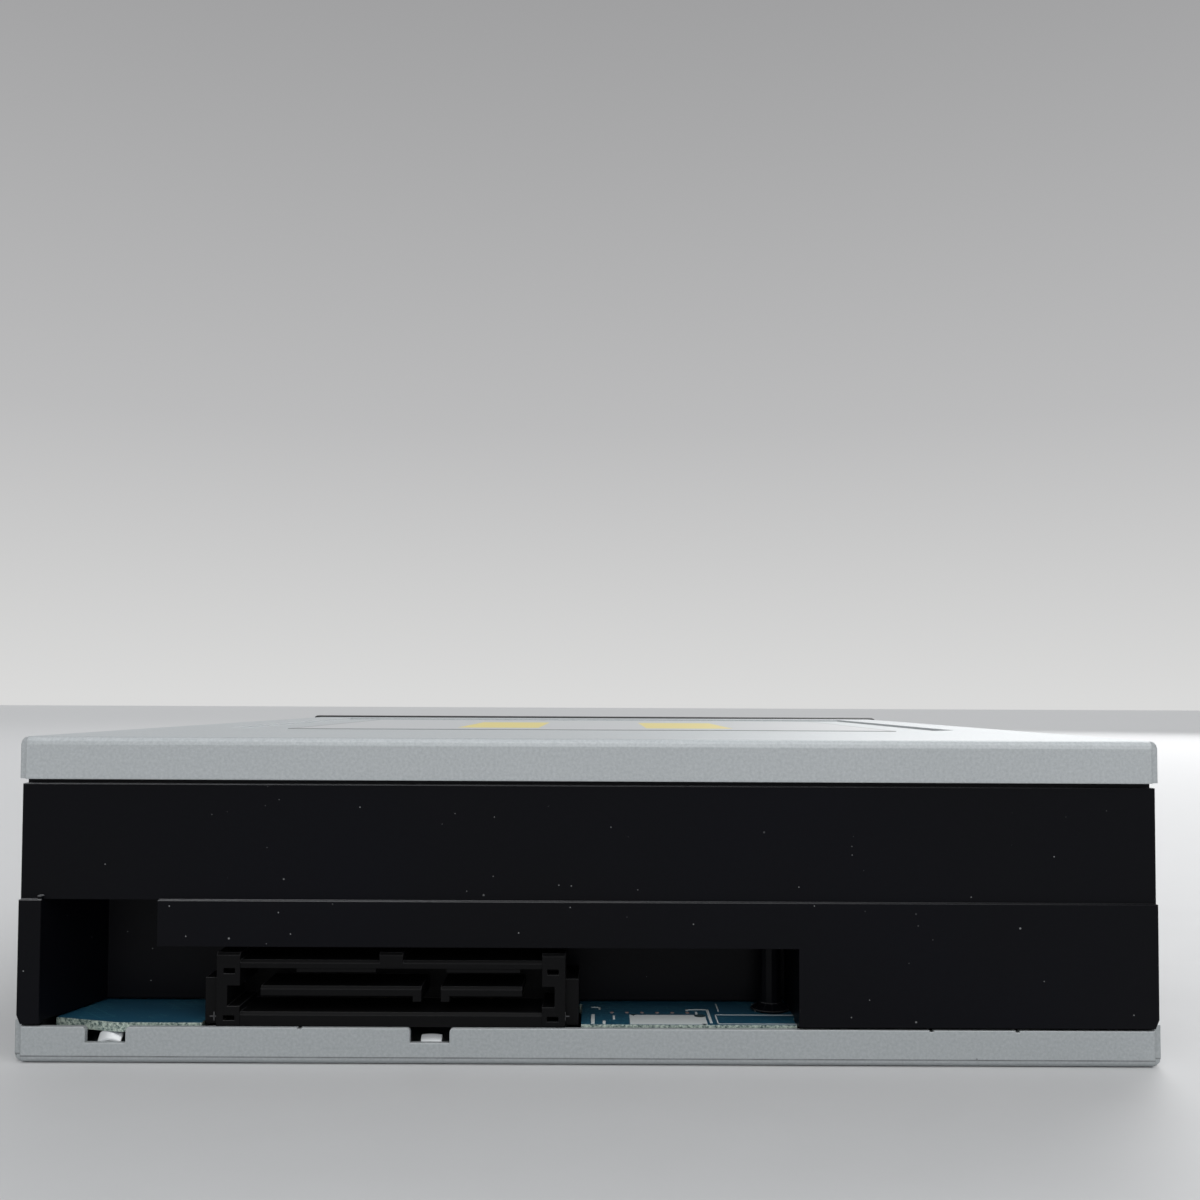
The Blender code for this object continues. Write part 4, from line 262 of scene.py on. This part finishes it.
def makeBlackMoulding(name, s):
    f = Finish(name, s["tone"], s["roughness"], Specular_IOR_Level=s["specular"])
    grain = f.noise(s["grain"], rough=0.6)
    cloud = f.noise(s["cloud"])
    clump = ((f.noise(s["clump"]) - s["clumpLeast"]) * s["clumpGain"]).atMost(1.0)
    dust = f.specks(s["dustCell"], s["dustCells"], s["dustReach"])
    thin = f.specks(s["dustCell"] * s["thinCell"], s["dustCells"] * s["thinCells"],
                    s["dustReach"] * s["thinReach"])
    dust = dust + thin * s["thinShare"]
    tone = f.mix(cloud, s["tone"], s["blueTone"])
    highlightShare = s["highlightShare"] + f.along("X") * s["highlightRise"]  # painted highlight: one end caught more light
    # upward edges painted paler as a highlight
    tone = f.mix(f.edges(s["edge"]) * highlightShare, tone, s["edgeHighlight"])
    f.feed("Base Color", f.mix(dust * clump, tone, s["dust"]))
    haze = cloud * s["haze"] + grain * s["grainHaze"] + dust * s["dustHaze"]
    f.feed("Roughness", s["roughness"] - s["polish"] + haze)
    f.relief(grain, s["depth"], s["edge"])
    return f.material


plainSet = {"broad": 90.0, "broadShare": 0.7, "polish": 0.05, "haze": 0.1}


def makePlain(name, tone, roughness, metal=0.0, grain=2500.0, depth=0.004, spread=0.12, edge=0.0,
              **constants):
    s = plainSet
    f = Finish(name, tone, roughness, metal, **constants)
    fine = f.noise(grain)
    broad = f.noise(s["broad"], detail=3.0)
    dark = tuple(c * (1.0 - spread) for c in tone)
    pale = tuple(min(1.0, c * (1.0 + spread)) for c in tone)
    level = broad * s["broadShare"] + fine * (1.0 - s["broadShare"])
    f.feed("Base Color", f.mix(level, dark, pale))
    f.feed("Roughness", roughness - s["polish"] + broad * s["haze"])
    f.relief(fine, depth, edge)
    return f.material


boardSet = {
    "mask": (0.016, 0.082, 0.140), "roughness": 0.32, "coat": 0.3, "coatRoughness": 0.2,
    "trace": (0.040, 0.160, 0.220), "traceWidth": 0.09, "traceShare": 0.7, "traceRise": 0.02,  # mm
    "grids": [(0.0, 1.1), (0.785, 1.6)],  # turn in radians, pitch in mm
    "run": 7.0,  # a trace's straight length in pitches
    "region": 130.0,
    "via": (0.12, 0.22, 0.24), "viaCell": 0.9, "viaCells": 0.45, "viaReach": 0.16, "viaShare": 0.6,
    "weave": 2600.0, "cut": [(0.35, (0.05, 0.09, 0.09)), (0.62, (0.50, 0.58, 0.51))],  # the sawn edge
}


def makeBoardMask(name, s):
    f = Finish(name, s["mask"], s["roughness"], Coat_Weight=s["coat"], Coat_Roughness=s["coatRoughness"])
    lines = 0.0
    for turn, pitch in s["grids"]:
        at = f.node("ShaderNodeMapping", None, {"Vector": f.place, "Rotation": (0.0, 0.0, turn)})
        settings = {"offset": 0.37, "squash": 0.6, "squash_frequency": 3}
        sockets = {"Vector": at, "Scale": 1.0, "Mortar Size": s["traceWidth"] * mm, "Mortar Smooth": 0.1,
                   "Brick Width": pitch * s["run"] * mm, "Row Height": pitch * mm}
        lines = f.node("ShaderNodeTexBrick", settings, sockets, "Fac") + lines
    traces = lines * (f.noise(s["region"], detail=1.0) > 0.5)
    tone = f.mix(traces * s["traceShare"], s["mask"], s["trace"])
    vias = f.specks(s["viaCell"], s["viaCells"], s["viaReach"])
    tone = f.mix(vias * s["viaShare"], tone, s["via"])
    flat = f.node("ShaderNodeNewGeometry", out="True Normal")
    side = f.axis("Z", flat).size() < 0.5
    glass = f.node("ShaderNodeValToRGB", {"stops": s["cut"]}, {0: f.noise(s["weave"], rough=0.7)})
    f.feed("Base Color", f.mix(side, tone, glass))
    f.relief(traces, s["traceRise"])
    return f.material


flexSet = {
    "amber": (0.33, 0.17, 0.035), "copper": (0.55, 0.30, 0.08), "roughness": 0.3, "coat": 0.4,
    "pitch": 0.8, "gap": 0.45,  # mm, share of the pitch
}


def makeFlex(name, s):
    f = Finish(name, s["amber"], s["roughness"], Coat_Weight=s["coat"])
    stripe = (f.along("X") * (1.0 / (s["pitch"] * mm))).fraction() > s["gap"]
    f.feed("Base Color", f.mix(stripe, s["amber"], s["copper"]))
    return f.material


labelSet = {  # mm
    "low": (-53.5, -59.5), "high": (53.5, 26.5), "thick": 0.1, "clear": 0.01, "bevel": 0.04,
    "under": 0.4,  # how far the lid's pressed panel lies below its top
    "bands": [(10.0, 25.0), (-26.0, -10.0)], "bandEnds": (-35.0, 15.0), "border": 1.0,
    "paper": (0.50, 0.51, 0.52), "band": (0.72, 0.60, 0.16), "ink": (0.30, 0.31, 0.32), "roughness": 0.42,
    "fibre": (0.35, 0.35, 0.35), "grain": 1800.0, "grainShare": 0.12,
}


def makeLabel(name, s):
    f = Finish(name, s["paper"], s["roughness"])
    x, y = f.along("X"), f.along("Y")
    bandLow, bandHigh = s["bandEnds"]
    bands = sum(x.inside(low * mm, high * mm) for low, high in s["bands"])
    bands = bands * y.inside(bandLow * mm, bandHigh * mm)
    low, high = [(a + s["border"]) * mm for a in s["low"]], [(a - s["border"]) * mm for a in s["high"]]
    border = 1.0 - x.inside(low[0], high[0]) * y.inside(low[1], high[1])
    tone = f.mix(bands, f.mix(border, s["paper"], s["ink"]), s["band"])
    f.feed("Base Color", f.mix(f.noise(s["grain"]) * s["grainShare"], tone, s["fibre"]))
    return f.material


brushedSet = {
    "roughness": 0.28, "polish": 0.08, "haze": 0.22, "dark": 0.82, "depth": 0.004, "edge": 0.15,
    "grain": 4.0, "along": 30.0, "across": 900.0,  # the grain's stretch along the brush marks and across
}


def makeBrushed(name, tone, way="X"):  # way is the axis that the brush marks follow
    s = brushedSet
    f = Finish(name, tone, s["roughness"], 1.0)
    stretch = [s["along"] if axis == way else s["across"] for axis in "XYZ"]
    lines = f.noise(s["grain"], detail=4.0, rough=0.6, stretch=stretch)
    f.feed("Roughness", s["roughness"] - s["polish"] + lines * s["haze"])
    f.feed("Base Color", f.mix(lines, tuple(c * s["dark"] for c in tone), tone))
    f.relief(lines, s["depth"], s["edge"])
    return f.material


finishes = {
    "sheet": makeSheetSteel("sheetSteel", sheetSet),
    "pan": makeSheetSteel("panSteel", panSet),
    "black": makeBlackMoulding("blackMoulding", blackSet),
    "panel": makePlain("panelBlack", (0.008, 0.008, 0.009), 0.36, grain=3800.0, depth=0.014, edge=0.35,
                       Specular_IOR_Level=0.35),
    "key": makePlain("keyBlack", (0.014, 0.014, 0.015), 0.32, grain=3800.0, depth=0.008, edge=0.3),
    "tray": makePlain("trayBlack", (0.020, 0.020, 0.022), 0.42, grain=3000.0, depth=0.012, edge=0.3),
    "nylon": makeBlackMoulding("connectorNylon", nylonSet),
    "recess": makePlain("recessShade", (0.035, 0.035, 0.036), 0.6, depth=0.0),
    # the ear crosses are coloured paler than the nylon, a painted highlight
    "mark": makePlain("mouldMarkHighlight", (0.055, 0.055, 0.058), 0.5, depth=0.002),
    "acetal": makePlain("whiteAcetal", (0.72, 0.70, 0.64), 0.38, depth=0.004, spread=0.05, edge=0.12,
                        Subsurface_Weight=0.1, Subsurface_Radius=(0.002, 0.002, 0.0015)),
    "slider": makePlain("greyAcetal", (0.33, 0.34, 0.36), 0.42, spread=0.05, edge=0.15),
    "board": makeBoardMask("boardMask", boardSet),
    "chip": makePlain("chipBlack", (0.016, 0.016, 0.018), 0.55, grain=6000.0, depth=0.006, edge=0.1),
    "rubber": makePlain("softRubber", (0.017, 0.017, 0.017), 0.75, depth=0.01),
    "cast": makePlain("castZinc", (0.30, 0.31, 0.32), 0.5, 0.85, grain=1500.0, depth=0.02, edge=0.2),
    "steel": makeBrushed("motorSteel", (0.58, 0.59, 0.60)),
    "rod": makeBrushed("groundRod", (0.62, 0.62, 0.63), "Y"),
    "lens": makePlain("coatedLens", (0.20, 0.26, 0.50), 0.06, spread=0.05, depth=0.0,
                      Transmission_Weight=0.6, Coat_Weight=1.0),
    "flex": makeFlex("flexRibbon", flexSet),
    "magnet": makePlain("magnetPlate", (0.10, 0.10, 0.11), 0.3, 0.8, edge=0.15),
    "pad": makePlain("thermalPad", (0.52, 0.54, 0.58), 0.85, grain=1500.0, depth=0.02),
    "light": makePlain("lightPipe", (0.62, 0.66, 0.62), 0.18, spread=0.03, depth=0.0,
                       Transmission_Weight=0.5),
    "label": makeLabel("coverLabel", labelSet),
    "gold": makePlain("goldContact", (0.72, 0.50, 0.20), 0.25, 1.0, depth=0.0),
    "ink": makePlain("boardInk", (0.62, 0.66, 0.66), 0.6, depth=0.002, spread=0.1),
    "pink": makePlain("barePad", (0.52, 0.36, 0.33), 0.4, 0.5, depth=0.002),
    "hole": makePlain("holeShadow", (0.03, 0.055, 0.06), 0.6, depth=0.0),
    "tab": makePlain("bentTab", (0.66, 0.68, 0.69), 0.34, 0.3, grain=1800.0, depth=0.004, edge=0.1),
    "zinc": makePlain("zincScrew", (0.50, 0.50, 0.49), 0.3, 0.95, grain=1800.0, depth=0.006, edge=0.12),
}


def numbered(stem, count):
    return tuple(f"{stem}_{i + 1}" for i in range(count))


wears = {  # the pieces from the frame that wear each finish
    "pan": ("bottom_cover",),
    "sheet": ("top_cover", "clamp_bracket", "traverse_plate", "pickup_cover"),
    "black": ("main_frame", "lift_frame", "clamper"),
    "panel": ("front_bezel", "tray_door"),
    "key": ("eject_button",),
    "tray": ("tray",),
    "nylon": ("sata_connector", "pickup_flex_socket", "eject_switch", "turntable", "lens_holder"),
    "acetal": ("tray_gear", "pulley_gear", "motor_pulley", "sled_nut"),
    "slider": ("cam_slider",),
    "board": ("circuit_board", "front_board"),
    "chip": ("controller_chip", "driver_chip", "memory_chip"),
    "rubber": ("drive_belt", *numbered("damper", 4)),
    "cast": ("pickup_sled",),
    "steel": ("loading_motor", "spindle_motor", "sled_motor", "clamp_yoke"),
    "rod": ("guide_rod_left", "guide_rod_right", "lead_screw"),
    "lens": ("blue_laser_lens", "red_laser_lens"),
    "flex": ("front_flex", "pickup_flex"),
    "magnet": ("clamp_magnet",),
    "pad": ("thermal_pad",),
    "light": ("led_lens", "activity_led"),
    "zinc": numbered("cover_screw", 4) + numbered("damper_screw", 4) + numbered("motor_screw", 2),
}
for finish, names in wears.items():
    for name in names:
        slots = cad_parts[name].data.materials
        slots.clear()
        slots.append(finishes[finish])
print("finishes set on", sum(len(names) for names in wears.values()), "nodes")


def asPiece(name, bm, finish):
    mesh = bpy.data.meshes.new(name)
    bmesh.ops.recalc_face_normals(bm, faces=bm.faces)
    bm.to_mesh(mesh)
    bm.free()
    piece = bpy.data.objects.new(name, mesh)
    bpy.context.scene.collection.objects.link(piece)
    mesh.materials.append(finishes[finish])
    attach(piece, "drive")


def addBlock(bm, low, high, bevel=0.0, turn=None):  # from corner to corner, in mm
    made = bmesh.ops.create_cube(bm, size=1.0)["verts"]
    size = [(b - a) * mm for a, b in zip(low, high)]
    centre = Vector([(a + b) / 2 * mm for a, b in zip(low, high)])
    bmesh.ops.scale(bm, vec=size, verts=made)
    if bevel:
        edges = list({e for v in made for e in v.link_edges})
        done = bmesh.ops.bevel(bm, geom=edges, offset=bevel * mm, offset_type="OFFSET", affect="EDGES",
                               segments=2, profile=0.5, material=-1)
        made = list({v for f in done["faces"] for v in f.verts} | {v for v in made if v.is_valid})
    if turn:
        bmesh.ops.rotate(bm, cent=(0, 0, 0), matrix=turn, verts=made)
    bmesh.ops.translate(bm, vec=centre, verts=made)
    return made


def addDisc(bm, x, y, low, high, radius, sides):
    made = bmesh.ops.create_cone(bm, cap_ends=True, segments=sides, radius1=radius * mm, radius2=radius * mm,
                                 depth=(high - low) * mm)["verts"]
    bmesh.ops.translate(bm, vec=Vector((x, y, (low + high) / 2)) * mm, verts=made)


contactSet = {
    "pitch": 1.27, "width": 0.8, "thick": 0.12, "bevel": 0.03,
    "top": 8.43, "clear": 0.01,  # the tongue's underside, and how far the contacts keep below it
    "front": 83.3, "back": 76.2,
    "rows": [("powerContacts", 32.1, 15), ("signalContacts", 13.3, 7)],  # middle of the row, count
}


def makeContacts(s):
    for name, middle, count in s["rows"]:
        bm = bmesh.new()
        for step in range(count):
            x = middle + (step - (count - 1) / 2) * s["pitch"]
            addBlock(bm, (x - s["width"] / 2, s["back"], s["top"] - s["thick"]),
                     (x + s["width"] / 2, s["front"], s["top"] - s["clear"]), s["bevel"])
        asPiece(name, bm, "gold")


makeContacts(contactSet)

screwSet = {  # cross recess pressed into the flat head of a cover screw, in mm
    "names": numbered("cover_screw", 4),
    "arm": 0.78, "slot": 0.24, "proud": 0.012, "deep": 0.02,
    "turns": (20.0, 110.0),
}


def makeScrewRecess(s):
    bm = bmesh.new()
    for name in s["names"]:
        low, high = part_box(name)
        x, y, z = (low[0] + high[0]) / 2 / mm, (low[1] + high[1]) / 2 / mm, low[2] / mm
        for turn in s["turns"]:
            addBlock(bm, (x - s["arm"], y - s["slot"], z - s["proud"]),
                     (x + s["arm"], y + s["slot"], z + s["deep"]),
                     turn=Matrix.Rotation(math.radians(turn), 3, "Z"))
    asPiece("screwRecesses", bm, "recess")


makeScrewRecess(screwSet)

markSet = {  # moulded crosses on the connector's ears, coloured paler than the nylon as a painted highlight
    "places": [(47.5, 5.93), (2.9, 6.1)], "front": 84.41, "arm": 0.55, "thick": 0.12, "proud": 0.03,
}


def makeEarMarks(s):
    bm = bmesh.new()
    for x, z in s["places"]:
        for across, up in ((s["arm"], s["thick"] / 2), (s["thick"] / 2, s["arm"])):
            addBlock(bm, (x - across, s["front"], z - up), (x + across, s["front"] + s["proud"], z + up))
    asPiece("earMarks", bm, "mark")


makeEarMarks(markSet)

printSet = {  # mm
    "top": 4.95, "clear": 0.002, "thick": 0.03, "overlay": 0.02,
    "bars": [  # lowest and highest corner of each printed bar
        ((-15.3, 79.2), (-5.4, 83.7)), ((-0.85, 79.0), (-0.4, 83.6)), ((-2.25, 82.2), (-1.9, 83.7)),
        ((-1.6, 75.2), (-0.4, 75.45)), ((-1.6, 75.2), (-1.35, 76.4)),
        ((-16.0, 76.2), (-12.9, 76.55)), ((-16.0, 76.2), (-15.65, 83.0)), ((-13.2, 76.2), (-12.9, 77.0)),
        ((-14.4, 77.6), (-14.1, 79.6)), ((-3.5, 79.6), (-3.2, 81.4)),
        ((-27.2, 78.9), (-16.6, 79.05)), ((-27.2, 83.3), (-16.6, 83.45)),  # an empty frame
        ((-16.75, 78.9), (-16.6, 83.45)), ((-27.2, 78.9), (-27.05, 83.45)),
        ((-17.35, 73.3), (-17.2, 77.2)), ((-22.3, 73.3), (-22.15, 77.2)), ((50.5, 70.85), (65.2, 71.05)),
    ],
    "pads": [(-3.1 - 2.0 * i, 78.0) for i in range(6)], "padRadius": 0.26,
    "vias": [(-14.6, 79.6, 0.75, 20), (-5.9, 79.2, 0.5, 3), (-14.9, 83.7, 0.4, 3)],  # x, y, radius, sides
}


def makeBoardPrint(s):
    low, high = s["top"] + s["clear"], s["top"] + s["thick"]
    bm = bmesh.new()
    for (x0, y0), (x1, y1) in s["bars"]:
        addBlock(bm, (x0, y0, low), (x1, y1, high))
    asPiece("boardPrint", bm, "ink")
    bm = bmesh.new()
    for x, y in s["pads"]:
        addDisc(bm, x, y, low, high + s["overlay"], s["padRadius"], 12)
    asPiece("boardPads", bm, "pink")
    bm = bmesh.new()
    for x, y, radius, sides in s["vias"]:
        addDisc(bm, x, y, high, high + s["overlay"], radius, sides)
    asPiece("boardVias", bm, "hole")


makeBoardPrint(printSet)


def makeLabelPiece(s):
    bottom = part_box("top_cover")[1][2] / mm - s["under"]
    bm = bmesh.new()
    addBlock(bm, (*s["low"], bottom + s["clear"]), (*s["high"], bottom + s["thick"]), s["bevel"])
    asPiece("coverLabel", bm, "label")


makeLabelPiece(labelSet)

tabSet = {  # each lip: from x, to x, lowest and highest z, how far its middle bulges up, in mm
    "lips": [(59.4, 62.4, 2.55, 3.55, 0.45), (18.6, 21.3, 2.5, 3.45, 0.12)],
    "front": 84.15, "back": 83.2, "thick": 0.35, "steps": 8, "bevel": 0.06,
    "near": 0.001,  # slack when a lip's points are picked out
}


def makePanTabs(s):
    bm = bmesh.new()
    for x0, x1, low, high, bulge in s["lips"]:
        made = addBlock(bm, (x0, s["back"], high - s["thick"]), (x1, s["front"], high))
        edges = list({e for v in made for e in v.link_edges
                      if abs(e.verts[0].co.x - e.verts[1].co.x) > (x1 - x0) / 2 * mm})
        bmesh.ops.subdivide_edges(bm, edges=edges, cuts=s["steps"] - 1)
        for v in bm.verts:
            if x0 - s["near"] < v.co.x / mm < x1 + s["near"]:
                along = (v.co.x / mm - x0) / (x1 - x0)
                out = (v.co.y / mm - s["back"]) / (s["front"] - s["back"])
                rise = bulge * 4.0 * along * (1.0 - along)  # highest in the middle
                v.co.z += (rise - (high - low) * out * out) * mm
    bmesh.ops.bevel(bm, geom=list(bm.edges), offset=s["bevel"] * mm, offset_type="OFFSET", affect="EDGES",
                    segments=1, profile=0.5, material=-1)
    asPiece("panTabs", bm, "tab")


makePanTabs(tabSet)
print("small parts made")

stageSet = {
    "floorTone": (0.60, 0.60, 0.605), "floorHalf": 6.0,
    "backdrop": [(0.0, (0.70, 0.70, 0.695)), (0.22, (0.50, 0.50, 0.505)), (0.55, (0.33, 0.33, 0.335)),
                 (0.9, (0.85, 0.86, 0.88))],
    "behind": 0.7,  # share of the backdrop's light that comes from behind the camera
    "turnsFrom": -0.1, "turnsTo": 0.5,  # where that share starts and is reached
    "skyTone": (0.95, 0.98, 1.0), "skyStrength": 0.50,
    "sunLean": -38.0, "sunTurn": 12.0, "sunSpread": 70.0, "sunStrength": 1.45,  # degrees, watts per m2
    "lampPlace": (-0.7, -1.2, 0.8), "lampAim": (0.0, 0.0, 0.02), "lampSize": 1.2, "lampWatts": 9.0,
}


def makeFloor(s):
    bm = bmesh.new()
    bmesh.ops.create_grid(bm, x_segments=1, y_segments=1, size=s["floorHalf"])
    mesh = bpy.data.meshes.new("floor")
    bm.to_mesh(mesh)
    bm.free()
    floor = bpy.data.objects.new("floor", mesh)
    bpy.context.scene.collection.objects.link(floor)
    mesh.materials.append(makePlain("floorPaint", s["floorTone"], 0.6, grain=600.0, depth=0.01, spread=0.02))


def makeWorld(s):
    world = bpy.data.worlds.new("studio")
    bpy.context.scene.world = world
    tree = Tree(world)
    sky = tree.nodes["Background"]
    sky.inputs["Color"].default_value = (*s["skyTone"], 1.0)
    sky.inputs["Strength"].default_value = s["skyStrength"]
    way = tree.node("ShaderNodeTexCoord", out="Generated")
    backdrop = tree.node("ShaderNodeValToRGB", {"stops": s["backdrop"]}, {0: tree.axis("Z", way)})
    dusk = tree.node("ShaderNodeMapRange", None, {
        "Value": tree.axis("Y", way), "From Min": s["turnsFrom"], "From Max": s["turnsTo"],
        "To Min": 1.0, "To Max": s["behind"],
    })
    dim = tree.node("ShaderNodeMix", {"data_type": "RGBA", "blend_type": "MULTIPLY"},
                    {0: 1.0, 6: backdrop, 7: dusk}, 2)
    back = tree.node("ShaderNodeBackground", None, {"Color": dim})
    seen = tree.node("ShaderNodeLightPath", out="Is Camera Ray")
    for kind in ("Is Glossy Ray", "Is Transmission Ray"):
        seen = seen.atLeast(tree.node("ShaderNodeLightPath", out=kind))
    both = tree.node("ShaderNodeMixShader", None, {0: seen, 1: Value(tree, sky.outputs[0]), 2: back})
    tree.links.new(both.out, tree.nodes["World Output"].inputs["Surface"])


def makeLights(s):
    data = bpy.data.lights.new("softSun", "SUN")
    data.angle = math.radians(s["sunSpread"])
    data.energy = s["sunStrength"]
    sun = bpy.data.objects.new("softSun", data)
    turn = Matrix.Rotation(math.radians(s["sunTurn"]), 4, "Z")
    sun.matrix_world = turn @ Matrix.Rotation(math.radians(s["sunLean"]), 4, "X")
    data = bpy.data.lights.new("frontLamp", "AREA")
    data.shape = "DISK"
    data.size = s["lampSize"]
    data.energy = s["lampWatts"]
    lamp = bpy.data.objects.new("frontLamp", data)
    facing = (Vector(s["lampAim"]) - Vector(s["lampPlace"])).to_track_quat("-Z", "Y").to_matrix().to_4x4()
    lamp.matrix_world = Matrix.Translation(s["lampPlace"]) @ facing
    for light in (sun, lamp):
        bpy.context.scene.collection.objects.link(light)


makeFloor(stageSet)
makeWorld(stageSet)
makeLights(stageSet)
bpy.context.scene.view_settings.view_transform = "Standard"
print("stage set")
